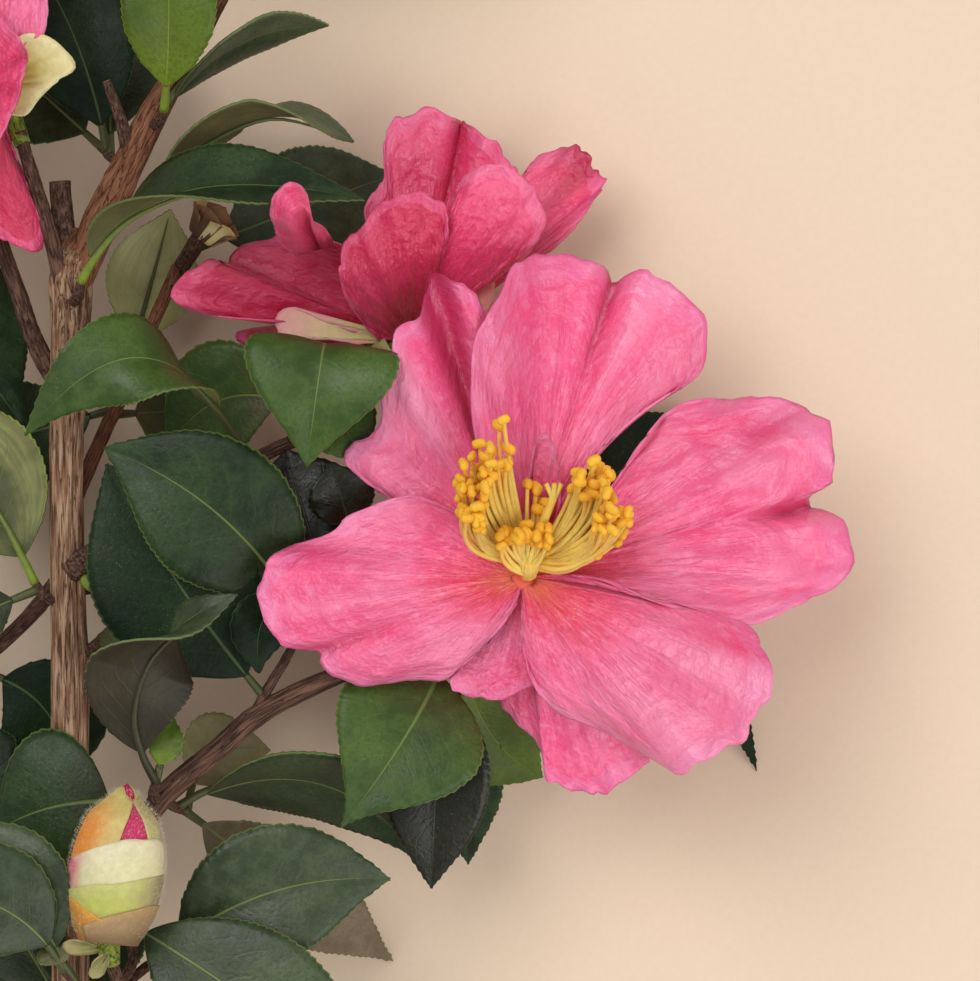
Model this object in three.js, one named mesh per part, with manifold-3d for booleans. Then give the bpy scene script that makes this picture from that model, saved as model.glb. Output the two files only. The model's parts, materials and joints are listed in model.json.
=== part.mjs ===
// A cut camellia branch in flower, lying on a flat surface, in millimetres with +Z up.
// The branch runs along +Y: its cut end is at the low end, the open bloom leans out to +X.
// Every limb, leaf spray, bloom and bud is a closed solid of its own, clear of its neighbours.
import * as THREE from "three";
import Module from "manifold-3d";

const wasm = await Module();
wasm.setup();

// Driving sizes
const STEM_HEIGHT = 30; // axis of the main stem above the surface it lies on
const CLEARANCE = 0.3; // gap between neighbouring solids
const LEAF_WIDTH = 18;
const LEAF_THICKNESS = 0.5;
const PETIOLE_LENGTH = 4;
const PETIOLE_RADIUS = 0.7;
const PETAL_WIDTH = 30;
const PETAL_THICKNESS = 0.6;
const HEART_RADIUS = 1.6; // the petals stand in a ring of this radius
const SPUR_RADIUS = 0.9; // the short twig that carries a spray of leaves, at its foot
const SPUR_TAPER = 0.12; // the share of its radius that it loses at each of its places

// How finely the round parts are divided
const STEM_SIDES = 8;
const TWIG_SIDES = 6;
const SPUR_SIDES = 5;
const FILAMENT_SIDES = 4;
const BUD_SIDES = 10;
const BUD_RINGS = 6;
const RINGS_PER_STRETCH = 2;
const RIDGE = 0.06; // unevenness below this is smoothed away

// Limbs: a route of [x, y, z, radius], from the end nearest the cut to the tip
const LIMBS = {
  main_stem: [
    [-1, -12, STEM_HEIGHT, 2.8], [-1, 20, STEM_HEIGHT, 2.7], [-1, 44, STEM_HEIGHT, 2.6],
    [-1.5, 64, STEM_HEIGHT, 2.5], [-1.5, 84, STEM_HEIGHT, 2.5], [-1, 98, STEM_HEIGHT, 2.8],
    [-1, 108, STEM_HEIGHT, 3.3],
  ],
  upper_bough: [
    [-0.5, 106, 30, 2.4], [3.5, 114, 30, 2.5], [7.5, 122.5, 30, 2.2], [11.5, 130.5, 30, 1.9],
    [16.5, 139, 30, 1.6], [21, 147, 31, 1.4], [26.5, 157, 33, 1],
  ],
  left_bough: [[-2, 104, 31, 1.2], [-4.5, 115, 33, 1.1], [-6.5, 121.5, 35, 1], [-8, 127, 36, 1]],
  back_bough: [
    [-1, 72, 29, 1.2], [3.5, 83, 24, 1.1], [6.5, 90, 21, 1], [10, 98.5, 18, 1], [14, 108, 17, 0.9],
  ],
  left_high_bough: [[-1.5, 88, 30, 1.5], [-6, 95.5, 27, 1.4], [-9, 103.5, 25, 1.3], [-14, 117, 22, 1]],
  left_low_bough: [[-1, 64, 30, 1.3], [-6, 57.5, 27, 1.2], [-11, 52.5, 25, 1.1], [-15.5, 48.5, 24, 1]],
  second_bloom_bough: [
    [-1.5, 63, 29, 1.3], [4.5, 67.5, 25, 1.3], [11.5, 72.5, 22, 1.2], [25, 79, 20, 1.1], [39, 85.5, 20, 1],
  ],
  bloom_bough: [
    [-1, 9, 30, 2], [5, 19, 31, 1.8], [12.5, 29.5, 32, 1.7], [20.5, 36.5, 32, 1.6], [27, 42, 32, 1.6],
    [37, 47, 31, 1.4], [47.5, 51, 29, 1.2], [59, 57, 28, 1.2],
  ],
  bud_bough: [[-1, -5, 30, 1.4], [4, -1, 33, 1.2], [6.5, 2.5, 38, 1], [5.5, 7, 41, 0.9]],
};

// Dead ends that stand on a limb and belong to it: the stub on the fork, a knob and two dead twigs
const SNAGS = {
  main_stem: [
    [[-1, 104, STEM_HEIGHT, 2], [-2, 113, STEM_HEIGHT, 1.7], [-2.5, 120, STEM_HEIGHT, 1.5]],
    [[-1, 63, 31, 2], [1.5, 64.5, 32, 1.8], [3, 66, 32.5, 1.2]],
    [[-1, 50, 30, 1], [2, 51.5, 30, 0.9], [3.5, 52, 30, 0.8]],
  ],
  upper_bough: [[[8, 123, 30, 1.4], [6.5, 129, 32, 0.9], [4.5, 134.5, 33, 0.6]]],
};

// Sprays of leaves: the spur starts inside its limb and is cut back clear of it.
// A leaf leaves the spur at a fraction of its length, with a bearing in the plan view (0 is +X, 90 is +Y)
// and a climb above the level. Arch lifts its middle, bow swings its middle sideways, and knee is the share
// of its length where it bends most. Roll turns its face; a list of rolls is spread from foot to tip.
// A leaf that rests droops until its tip touches the surface the branch lies on.
const SPRAYS = {
  tip_leaves: {
    limb: "upper_bough",
    spur: [[25, 154.5, 32.5], [29, 162, 34], [31, 168, 35]],
    leaves: [
      { at: 0.4, bearing: 150, climb: -6, length: 30, arch: 4 },
      { at: 0.6, bearing: 35, climb: -10, length: 33, arch: 4 },
      { at: 1, bearing: 95, climb: 8, length: 27, arch: 4, width: 13 },
      { at: 0.3, bearing: 68, rests: true, length: 46, arch: 4 },
    ],
  },
  upper_right_leaves: {
    limb: "upper_bough",
    spur: [[10.5, 128, 30], [12, 128.5, 33], [13, 130, 35]],
    leaves: [
      { at: 1, bearing: 89, climb: 12, length: 30, arch: 5, bow: -1, width: 14 },
      { at: 0.5, bearing: 31, climb: -16, length: 30, arch: 2, bow: 4, roll: -78, width: 15 },
    ],
  },
  upper_left_leaves: {
    limb: "upper_bough",
    spur: [[7.5, 122.5, 29], [5, 123.5, 27], [3.5, 125, 25]],
    leaves: [
      { at: 0.6, bearing: 92, climb: -40, length: 34, arch: 2 },
      { at: 1, bearing: 138, climb: -18, length: 27 },
      { at: 0.8, bearing: 112, climb: -8, length: 33, arch: 3, bow: -2 },
    ],
  },
  fork_leaf: {
    limb: "upper_bough",
    spur: [[3.5, 114, 30], [6, 113.5, 30.5], [8, 115, 31]],
    leaves: [
      {
        at: 1, bearing: 19, climb: -12, length: 35, arch: 3, bow: 7.5, knee: 0.66, width: 17,
        roll: [122, 112, 100, 66, 45],
      },
    ],
  },
  front_leaf: {
    limb: "main_stem",
    spur: [[-1, 102, 31], [0.5, 103, 34.5], [1, 105, 36]],
    leaves: [
      {
        at: 1, bearing: 16, climb: 1, length: 43, arch: 5, bow: 8, knee: 0.3, fold: 30, width: 17,
        roll: [115, 95, 67, 40, 30],
      },
    ],
  },
  left_high_leaves: {
    limb: "left_high_bough",
    spur: [[-13, 114, 22.5], [-16, 121, 21], [-17, 125, 20]],
    leaves: [
      { at: 0.2, bearing: -80, climb: 4, length: 33, bow: -5, roll: 30 },
      { at: 0.4, bearing: 170, rests: true, length: 38, arch: 4 },
      { at: 1, bearing: 122, rests: true, length: 36, arch: 4 },
    ],
  },
  back_leaves: {
    limb: "back_bough",
    spur: [[13, 104.5, 17.5], [15, 108, 15], [17, 111, 14]],
    leaves: [
      { at: 1, bearing: 22, rests: true, length: 34, arch: 2 },
    ],
  },
  back_left_leaf: {
    limb: "back_bough",
    spur: [[7.5, 92.5, 20.2], [7, 93.2, 17.5], [6.5, 93.7, 15]],
    leaves: [{ at: 1, bearing: 75, climb: -6, length: 24, arch: -2, roll: 172, width: 14 }],
  },
  back_inner_leaves: {
    limb: "back_bough",
    spur: [[6.5, 90, 21], [5, 88, 19], [5, 86, 17]],
    leaves: [
      { at: 1, bearing: 4, climb: -52, length: 18, width: 12 },
      { at: 0.8, bearing: -165, climb: -22, length: 34, arch: 2 },
    ],
  },
  middle_leaves: {
    limb: "second_bloom_bough",
    spur: [[31, 82, 20], [34.5, 87, 22], [36, 92, 24]],
    leaves: [
      { at: 1, bearing: -98, climb: 48, length: 21, arch: 13, width: 23 },
      { at: 0.8, bearing: -58, climb: 36, length: 17, arch: 5, width: 12 },
      { at: 0.4, bearing: -168, climb: -18, length: 23, bow: -5 },
    ],
  },
  front_left_leaf: {
    limb: "second_bloom_bough",
    spur: [[22, 77.5, 20.5], [23.5, 79, 24], [24, 81, 27]],
    leaves: [
      {
        at: 1, bearing: 177, climb: 20, length: 33, arch: 7, bow: -12, knee: 0.6, width: 14,
        roll: [-150, -75, -25, 0, 10],
      },
    ],
  },
  inner_leaves: {
    limb: "bloom_bough",
    spur: [[26, 41.5, 32], [28, 45.5, 32], [31, 50.5, 31], [33, 55, 30], [36, 62, 29], [41, 66, 28]],
    leaves: [
      { at: 0.15, bearing: 124, climb: 1, length: 41, arch: 2, bow: 1, width: 25 },
      { at: 0.6, bearing: 138, climb: 8, length: 39, arch: 4, bow: -4, width: 22 },
      { at: 0.7, bearing: -125, climb: 22, length: 14, arch: 3, bow: -4, width: 9 },
      { at: 0.8, bearing: 107, climb: -22, length: 21 },
      { at: 1, bearing: 106, climb: 18, length: 14, arch: 1, width: 10 },
    ],
  },
  lower_front_leaves: {
    limb: "bloom_bough",
    spur: [[12, 29, 32.5], [11.5, 30.5, 35], [12, 32, 36]],
    leaves: [
      {
        at: 1, bearing: 66, climb: 19, length: 32, arch: 3, bow: 8, width: 23, taper: 0.5,
        roll: [185, 180, 160, 105, 40],
      },
      { at: 0.6, bearing: 75, climb: 0, length: 11, arch: 2, width: 5 },
    ],
  },
  behind_bud_leaf: {
    limb: "bloom_bough",
    spur: [[9.5, 25.5, 31.5], [9, 27, 33.5], [9.2, 29, 33.8]],
    leaves: [
      { at: 1, bearing: -168, climb: -10, length: 22, arch: 2, bow: -2, fold: 4, width: 26, taper: 0.45 },
    ],
  },
  lower_back_leaves: {
    limb: "bloom_bough",
    spur: [[12.5, 29.5, 31.5], [14.5, 28, 29], [16, 27.5, 27]],
    leaves: [
      { at: 0.5, bearing: -13, climb: -16, length: 38, arch: 1, bow: 8, roll: -52 },
      { at: 0.8, bearing: -38, rests: true, length: 46, arch: 2 },
      { at: 1, bearing: 35, climb: -45, length: 20, bow: 4, width: 13 },
    ],
  },
  bud_leaves: {
    limb: "bud_bough",
    spur: [[6, 2, 37.5], [2, 2, 39], [-1, 5, 41]],
    leaves: [
      { at: 0.9, bearing: 138, climb: -4, length: 27, arch: 4, bow: -4 },
      { at: 1, bearing: 155, climb: 6, length: 26, arch: 4, bow: -5 },
      { at: 0.7, bearing: 120, climb: 5, length: 8, arch: 2, width: 6 },
    ],
  },
  front_bud_leaf: {
    limb: "bud_bough",
    spur: [[5.2, 0.7, 35.4], [8.4, 6, 34], [7, 12, 34.5]],
    leaves: [{ at: 1, bearing: -34, climb: 6, length: 44, arch: 3, bow: 1, width: 22, roll: 8 }],
  },
  right_bud_leaf: {
    limb: "bud_bough",
    spur: [[4.4, -0.5, 33.8], [8, 3, 31.5], [12, 6, 30]],
    leaves: [{ at: 1, bearing: 19, climb: 3, length: 36, arch: 3, bow: 4, width: 20 }],
  },
  bottom_leaves: {
    limb: "main_stem",
    spur: [[-1, -6, 29], [-2, -5, 25], [-2, -3, 23]],
    leaves: [
      { at: 1, bearing: 124, climb: -28, length: 36, arch: 1 },
      { at: 0.8, bearing: 78, climb: -30, length: 24 },
      { at: 0.6, bearing: -125, rests: true, length: 40, arch: 3 },
    ],
  },
  left_low_leaves: {
    limb: "left_low_bough",
    spur: [[-14.5, 49, 24], [-19, 47, 24], [-23, 46, 23]],
    leaves: [
      { at: 0.2, bearing: -52, climb: -14, length: 22, arch: 2, bow: 5 },
      { at: 0.4, bearing: -69, climb: 12, length: 23, bow: -4 },
      { at: 0.7, bearing: 145, rests: true, length: 40, arch: 4 },
      { at: 1, bearing: -160, rests: true, length: 38, arch: 4 },
    ],
  },
  left_stem_leaves: {
    limb: "main_stem",
    spur: [[-1.5, 58, 29], [-4.5, 59, 32], [-6, 61, 32]],
    leaves: [
      { at: 1, bearing: 126, climb: -16, length: 32, arch: 3, bow: -2, width: 21 },
      { at: 0.8, bearing: -158, climb: -6, length: 22, arch: 2, width: 12 },
    ],
  },
  right_stem_leaf: {
    limb: "main_stem",
    spur: [[-1, 60, 29], [2, 60, 27], [4, 60, 25]],
    leaves: [{ at: 1, bearing: -88, climb: -20, length: 22, bow: 3 }],
  },
  bloom_leaves: {
    limb: "bloom_bough",
    spur: [[50, 52.5, 28.5], [53, 51, 26], [57, 50, 24]],
    leaves: [
      { at: 0.2, bearing: -116, climb: 13, length: 31, arch: 3, bow: 1, width: 30, taper: 0.8 },
      { at: 0.6, bearing: -93, climb: -2, length: 35, arch: 3, width: 16 },
      { at: 0.9, bearing: -88, climb: -30, length: 37, width: 12 },
      { at: 1, bearing: -58, climb: -30, length: 25, arch: 1, bow: -3, width: 14 },
    ],
  },
  far_bloom_leaves: {
    limb: "bloom_bough",
    spur: [[53, 54, 28.3], [56, 53.5, 25], [61, 57, 21.5]],
    leaves: [
      { at: 1, bearing: -31, rests: true, length: 52, arch: 4, bow: 3, width: 16 },
      { at: 0.9, bearing: 43, rests: true, length: 49, arch: 4, bow: 2 },
    ],
  },
};

// Blooms: a short stalk from the tip of the bough, then petals set round the heart of the flower
const BLOOMS = {
  main_bloom: {
    limb: "bloom_bough",
    stalk: [[57, 56, 28, 1.6], [61, 58.5, 29, 2.6], [65, 61, 32, 4]],
    petals: [
      { bearing: -175, climb: 14, length: 41, arch: 4, width: 27, left: 12, right: 20 },
      { bearing: -34, climb: 27, length: 45, arch: 5, width: 30, left: 20, right: 24 },
      { bearing: 12, climb: -8, length: 50, arch: 5, bow: 4, width: 34, left: 20, right: 16 },
      { bearing: 74, climb: -8, length: 49, arch: -3, width: 37, left: 30, right: 20 },
      {
        bearing: 107, climb: 10, length: 46, arch: -2, bow: 8, width: 30,
        taper: 0.75, notch: 0, left: 20, right: 60, roll: -15,
      },
      { bearing: -112, climb: 6, length: 21, arch: 2, width: 16 },
      { bearing: -72, climb: -6, length: 34, arch: 3, width: 23, left: 20, right: 20 },
    ],
  },
  second_bloom: {
    limb: "second_bloom_bough",
    stalk: [[37, 84.5, 20, 1.5], [43, 90, 18, 2.4], [49, 97, 18, 4]],
    petals: [
      { bearing: 170, climb: 6, length: 37, arch: 2, bow: -5, width: 18, left: 30, right: 50 },
      { bearing: 98, climb: 24, length: 24, arch: 2, bow: 2, width: 20, left: 30, right: 30 },
      { bearing: 57, climb: 2, length: 29, arch: 3, width: 24, left: 24, right: 24 },
      { bearing: 82, climb: -14, length: 36, arch: 1, width: 26, left: 20, right: 20 },
      { bearing: 43, climb: -14, length: 40, arch: 1, bow: 2, width: 16, left: 20, right: 20 },
      { bearing: 132, climb: -4, length: 30, arch: 2, width: 10 },
    ],
  },
  third_bloom: {
    limb: "left_bough",
    stalk: [[-7.5, 125, 36, 1.4], [-9.5, 130, 37, 2.2], [-14, 133, 38, 3.6]],
    petals: [
      { bearing: 98, climb: 8, length: 30, arch: 4, width: 24, left: 24, right: 24 },
      { bearing: -78, climb: -10, length: 24, arch: 2, width: 17, left: 24, right: 24 },
      { bearing: 148, climb: 6, length: 34, arch: 4, width: 28, left: 24, right: 24 },
      { bearing: -162, climb: 4, length: 34, arch: 4, width: 28, left: 24, right: 24 },
      { bearing: -112, climb: -8, length: 28, arch: 3, width: 22, left: 24, right: 24 },
      { bearing: 20, climb: 58, length: 16, arch: 3, width: 16, left: 40, right: 40 },
      { bearing: 52, climb: 14, length: 15, arch: 2, width: 10 },
    ],
  },
};

// The stamens stand in the heart of the open bloom. The cup and a filament are lists of [share of the
// length, radius]; every third filament is shorter, and every second one leans out only part of the spread.
const MAIN_STAMENS = {
  foot: [66.6, 63.7, 35.8],
  bearing: 88,
  climb: 40,
  length: 17,
  count: 14,
  spread: 34,
  innerSpread: 20,
  ringRadius: 0.8,
  shortFilament: 0.9,
  cup: [[0, 1.6], [0.18, 2.6], [0.34, 4]],
  filament: [[0.2, 0.5], [0.65, 0.4], [0.8, 0.45], [1, 0.8]],
};

// Buds: an egg of overlapping scales on a stalk
const BUDS = {
  flower_bud: {
    limb: "bud_bough",
    stalk: [[5.7, 6, 40.7, 1.4], [5.4, 10.5, 42, 2.2]],
    foot: [5.3, 9.5, 42],
    bearing: 83,
    climb: -2,
    length: 22,
    radius: 6.8,
  },
  spent_bud: {
    limb: "back_bough",
    stalk: [[14, 107.5, 17, 0.9], [17.5, 112.5, 20, 1.2]],
    foot: [17.5, 112, 20],
    bearing: 50,
    climb: 12,
    length: 7,
    radius: 3,
  },
};

const FINISHES = {
  bark: { color: 0x8a6148, roughness: 0.85 },
  twig: { color: 0x6b4030, roughness: 0.85 },
  leaf: { color: 0x25432a, roughness: 0.4 },
  petal: { color: 0xd93a72, roughness: 0.6 },
  stamen: { color: 0xf0b030, roughness: 0.6 },
  bud: { color: 0xc9a05c, roughness: 0.6 },
};

const point = ([x, y, z]) => new THREE.Vector3(x, y, z);

function direction(bearing, climb) {
  const turn = THREE.MathUtils.degToRad(bearing);
  const rise = THREE.MathUtils.degToRad(climb);
  const level = Math.cos(rise);
  return new THREE.Vector3(level * Math.cos(turn), level * Math.sin(turn), Math.sin(rise));
}

function solid(vertices, faces) {
  const vertProperties = new Float32Array(vertices.flatMap((v) => [v.x, v.y, v.z]));
  const triVerts = new Uint32Array(faces.flat());
  return new wasm.Manifold(new wasm.Mesh({ numProp: 3, vertProperties, triVerts }));
}

function fuse(parts) {
  return parts.reduce((whole, part) => whole.add(part));
}

// The body less what stands too close to it; crumbs that the cut leaves are dropped, fine ridges smoothed
function clearOf(body, other) {
  const pieces = body.subtract(other).simplify(RIDGE).decompose();
  return pieces.reduce((most, piece) => (piece.volume() > most.volume() ? piece : most));
}

// The value at share t of a list that is spread evenly from the foot (0) to the tip (1)
function spreadOver(list, t) {
  const step = THREE.MathUtils.clamp(t, 0, 1) * (list.length - 1);
  const i = Math.min(Math.floor(step), list.length - 2);
  return THREE.MathUtils.lerp(list[i], list[i + 1], step - i);
}

// A round limb through [x, y, z, radius] places, closed by flat ends; grow makes it larger all over
function limb(places, { sides = TWIG_SIDES, rings = 1, grow = 0 } = {}) {
  const curve = new THREE.CatmullRomCurve3(places.map(point));
  const count = (places.length - 1) * rings;
  const vertices = [];
  let across = new THREE.Vector3(0.3, 0.1, 1);
  for (let i = 0; i <= count; i++) {
    const t = i / count;
    const along = curve.getTangent(t);
    const centre = curve.getPoint(t);
    if (i === 0) centre.addScaledVector(along, -grow);
    if (i === count) centre.addScaledVector(along, grow);
    across = across.clone().addScaledVector(along, -across.dot(along)).normalize();
    const up = new THREE.Vector3().crossVectors(along, across);
    const radius = spreadOver(places.map((place) => place[3]), t);
    for (let k = 0; k < sides; k++) {
      const turn = (2 * Math.PI * k) / sides;
      const offset = across.clone().multiplyScalar(Math.cos(turn)).addScaledVector(up, Math.sin(turn));
      vertices.push(centre.clone().addScaledVector(offset, radius + grow));
    }
  }
  const faces = [];
  for (let i = 0; i < count; i++) {
    for (let k = 0; k < sides; k++) {
      const a = i * sides + k;
      const b = i * sides + ((k + 1) % sides);
      faces.push([a, b, b + sides], [a, b + sides, a + sides]);
    }
  }
  const last = count * sides;
  for (let k = 1; k < sides - 1; k++) {
    faces.push([0, k + 1, k], [last, last + k, last + k + 1]);
  }
  return solid(vertices, faces);
}

// Half the width of a leaf and of a petal as a share of the widest place, from the foot (0) to the tip (1)
const leafShape = (s) => Math.max(0.03, Math.sin(Math.PI * s ** 0.92) ** 0.85);

function petalShape(s) {
  const fullest = 0.7;
  const swell = Math.sin(Math.min(1, s / fullest) * 0.5 * Math.PI) ** 1.4;
  const pastFullest = Math.max(0, s - fullest) / (1 - fullest);
  return 0.12 + 0.88 * swell - 0.26 * pastFullest ** 2;
}

const LEAF = {
  rows: [0, 0.06, 0.2, 0.4, 0.62, 0.83, 1],
  columns: [-1, 0, 1],
  width: LEAF_WIDTH,
  thickness: LEAF_THICKNESS,
  shape: leafShape,
  notch: 0,
  corner: 0,
  petiole: PETIOLE_LENGTH,
  fold: 14,
};
const PETAL = {
  rows: [0, 0.2, 0.45, 0.72, 1],
  columns: [-1, -0.5, 0, 0.5, 1],
  width: PETAL_WIDTH,
  thickness: PETAL_THICKNESS,
  shape: petalShape,
  notch: 0.07,
  corner: 0.12,
  petiole: 0,
  fold: 6,
};

// A leaf or petal: a slab of even thickness on a curved spine, folded along its rib and curled at its edges
function blade(foot, kind, form) {
  const { bearing, length, arch = 0, bow = 0, knee = 0.5, roll = 0, left = 0, right = 0, taper = 0 } = form;
  const climb = form.rests ? -THREE.MathUtils.radToDeg(Math.asin(foot.z / length)) : form.climb;
  const rolls = Array.isArray(roll) ? roll : [roll, roll];
  const halfWidth = (form.width ?? kind.width) / 2;
  const fold = THREE.MathUtils.degToRad(form.fold ?? kind.fold);
  const heading = direction(bearing, climb);
  const face = new THREE.Vector3(0, 0, 1).addScaledVector(heading, -heading.z).normalize();
  const side = new THREE.Vector3().crossVectors(face, heading);
  const tip = foot.clone().addScaledVector(heading, length);
  const pull = foot.clone().lerp(tip, knee).addScaledVector(face, 2 * arch).addScaledVector(side, 2 * bow);
  const spine = new THREE.QuadraticBezierCurve3(foot, pull, tip);
  const stalk = kind.petiole / length;

  // Half the width at t along the spine
  function halfWidthAt(t, s) {
    const outline = halfWidth * kind.shape(s) * (1 - taper * s ** 1.5);
    return t < stalk ? PETIOLE_RADIUS : Math.max(PETIOLE_RADIUS * 0.6, outline);
  }

  // One place of the blade: t along the spine, v across it from the right edge (-1) to the left edge (1)
  function place(t, v, lift) {
    const s = Math.max(0, (t - stalk) / (1 - stalk));
    const along = spine.getTangent(Math.min(t, 1));
    const turn = THREE.MathUtils.degToRad(spreadOver(rolls, t));
    const up = face.clone().multiplyScalar(Math.cos(turn)).addScaledVector(side, Math.sin(turn));
    up.addScaledVector(along, -up.dot(along)).normalize();
    const out = new THREE.Vector3().crossVectors(up, along);
    const offRib = Math.abs(v);
    const curl = THREE.MathUtils.degToRad(v > 0 ? left : right) * offRib * kind.shape(s);
    const bend = fold + curl;
    const halfway = fold + curl / 2;
    const notch = form.notch ?? kind.notch;
    const reach = 1 - kind.corner * offRib ** 3 - notch * (1 - offRib) ** 3;
    const w = halfWidthAt(t, s);
    const spot = spine.getPoint(t * reach);
    spot.addScaledVector(out, w * v * Math.cos(halfway)).addScaledVector(up, w * offRib * Math.sin(halfway));
    const halfThick = t < stalk ? PETIOLE_RADIUS : kind.thickness / 2;
    const normal = up.clone().multiplyScalar(Math.cos(bend));
    normal.addScaledVector(out, -Math.sign(v) * Math.sin(bend));
    return spot.addScaledVector(normal, lift * halfThick);
  }

  const rows = kind.petiole ? [0, ...kind.rows.map((s) => stalk + s * (1 - stalk))] : kind.rows;
  const wide = kind.columns.length;
  const top = rows.flatMap((t) => kind.columns.map((v) => place(t, v, 1)));
  const under = rows.flatMap((t) => kind.columns.map((v) => place(t, v, -1)));
  const faces = [];
  const quad = (a, b, c, d) => faces.push([a, b, c], [a, c, d]);
  const beneath = top.length;
  for (let i = 0; i < rows.length - 1; i++) {
    for (let j = 0; j < wide - 1; j++) {
      const a = i * wide + j;
      quad(a, a + wide, a + wide + 1, a + 1);
      quad(beneath + a, beneath + a + 1, beneath + a + wide + 1, beneath + a + wide);
    }
    const rightEdge = i * wide;
    const leftEdge = i * wide + wide - 1;
    quad(rightEdge, beneath + rightEdge, beneath + rightEdge + wide, rightEdge + wide);
    quad(leftEdge, leftEdge + wide, beneath + leftEdge + wide, beneath + leftEdge);
  }
  const end = (rows.length - 1) * wide;
  for (let j = 0; j < wide - 1; j++) {
    quad(j, j + 1, beneath + j + 1, beneath + j);
    quad(end + j, beneath + end + j, beneath + end + j + 1, end + j + 1);
  }
  return solid([...top, ...under], faces);
}

function limbSolid(name, grow = 0) {
  const sides = name === "main_stem" ? STEM_SIDES : TWIG_SIDES;
  const snags = (SNAGS[name] ?? []).map((places) => limb(places, { grow }));
  return fuse([limb(LIMBS[name], { sides, rings: RINGS_PER_STRETCH, grow }), ...snags]);
}

// A spray: the spur and its leaves in one, cut back clear of the limb it grows on
function sprayOf({ limb: bearer, spur, leaves }) {
  const tapered = spur.map((place, i) => [...place, SPUR_RADIUS * (1 - SPUR_TAPER * i)]);
  const curve = new THREE.CatmullRomCurve3(spur.map(point));
  const blades = leaves.map((form) => blade(curve.getPoint(form.at), LEAF, form));
  return clearOf(fuse([limb(tapered, { sides: SPUR_SIDES }), ...blades]), limbSolid(bearer, CLEARANCE));
}

// A bloom: its stalk and its petals, whose feet stand in a ring round the end of the stalk
function bloomOf({ limb: bearer, stalk, petals }) {
  const heart = point(stalk.at(-1));
  const blades = petals.map((form) => {
    const foot = heart.clone().addScaledVector(direction(form.bearing, form.climb), HEART_RADIUS);
    return blade(foot, PETAL, { ...form, length: form.length - HEART_RADIUS });
  });
  return clearOf(fuse([limb(stalk), ...blades]), limbSolid(bearer, CLEARANCE));
}

// The stamens: a cup of joined filaments that opens into a ring of free ones, each ending in its anther
function stamensOf({ foot, bearing, climb, length, count, spread, innerSpread, ...form }) {
  const axis = direction(bearing, climb);
  const across = direction(bearing - 90, 0);
  const up = new THREE.Vector3().crossVectors(across, axis);
  const along = (share) => point(foot).addScaledVector(axis, length * share);
  const cup = limb(form.cup.map(([share, radius]) => [...along(share), radius]), { sides: STEM_SIDES });
  const filaments = [];
  for (let k = 0; k < count; k++) {
    const turn = (2 * Math.PI * (k + 0.3)) / count;
    const out = across.clone().multiplyScalar(Math.cos(turn)).addScaledVector(up, Math.sin(turn));
    const lean = length * Math.tan(THREE.MathUtils.degToRad(k % 2 ? spread : innerSpread));
    const reach = k % 3 ? 1 : form.shortFilament;
    const places = form.filament.map(([share, radius]) => {
      const spot = along(share * reach).addScaledVector(out, form.ringRadius + lean * share ** 1.6);
      return [...spot, radius];
    });
    filaments.push(limb(places, { sides: FILAMENT_SIDES }));
  }
  return fuse([cup, ...filaments]).simplify(RIDGE);
}

// A bud: an egg on its stalk, round at the foot and drawn out at the tip
function budOf({ limb: bearer, stalk, foot, bearing, climb, length, radius }) {
  const axis = direction(bearing, climb);
  const places = [];
  for (let i = 0; i <= BUD_RINGS; i++) {
    const s = i / BUD_RINGS;
    const swell = Math.sin(Math.PI * (0.1 + 0.85 * s) ** 0.9) ** 0.7;
    places.push([...point(foot).addScaledVector(axis, length * s), Math.max(1, radius * swell)]);
  }
  return clearOf(fuse([limb(stalk), limb(places, { sides: BUD_SIDES })]), limbSolid(bearer, CLEARANCE));
}

function meshOf(name, body, finish) {
  const { vertProperties, triVerts, numProp } = body.getMesh();
  const geometry = new THREE.BufferGeometry();
  const positions = new Float32Array((vertProperties.length / numProp) * 3);
  for (let i = 0; i < positions.length / 3; i++) {
    for (let axis = 0; axis < 3; axis++) {
      positions[i * 3 + axis] = vertProperties[i * numProp + axis];
    }
  }
  geometry.setAttribute("position", new THREE.BufferAttribute(positions, 3));
  geometry.setIndex([...triVerts]);
  geometry.computeVertexNormals();
  const mesh = new THREE.Mesh(geometry, new THREE.MeshStandardMaterial({ ...finish, metalness: 0 }));
  mesh.name = name;
  return mesh;
}

function branch() {
  const group = new THREE.Group();
  group.name = "camellia_branch";
  const stem = limbSolid("main_stem", CLEARANCE);
  for (const name of Object.keys(LIMBS)) {
    const body = name === "main_stem" ? limbSolid(name) : clearOf(limbSolid(name), stem);
    group.add(meshOf(name, body, name === "main_stem" ? FINISHES.bark : FINISHES.twig));
  }
  for (const [name, spray] of Object.entries(SPRAYS)) {
    group.add(meshOf(name, sprayOf(spray), FINISHES.leaf));
  }
  for (const [name, bloom] of Object.entries(BLOOMS)) {
    group.add(meshOf(name, bloomOf(bloom), FINISHES.petal));
  }
  group.add(meshOf("main_stamens", stamensOf(MAIN_STAMENS), FINISHES.stamen));
  for (const [name, bud] of Object.entries(BUDS)) {
    group.add(meshOf(name, budOf(bud), FINISHES.bud));
  }
  const box = new THREE.Box3().setFromObject(group);
  const centre = box.getCenter(new THREE.Vector3());
  for (const mesh of group.children) {
    mesh.geometry.translate(-centre.x, -centre.y, -box.min.z);
  }
  return group;
}

export default branch();
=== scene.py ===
# %% [markdown]
# # A cut branch of camellia in bloom
# A flowering branch lies on a pale floor and the camera looks straight down on it. It has an upright main
# stem, a few boughs, some fifty leathery leaves, one wide open bloom, two more blooms turned away, and a
# fat bud.
#
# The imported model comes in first. It is the fixed frame: it says how large the branch is and where every
# solid lies. Its solids have few faces, so each is replaced here by a finer piece that grows by the same
# rule.

import json

import bpy
import numpy as np
from mathutils import Matrix, Vector


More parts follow.
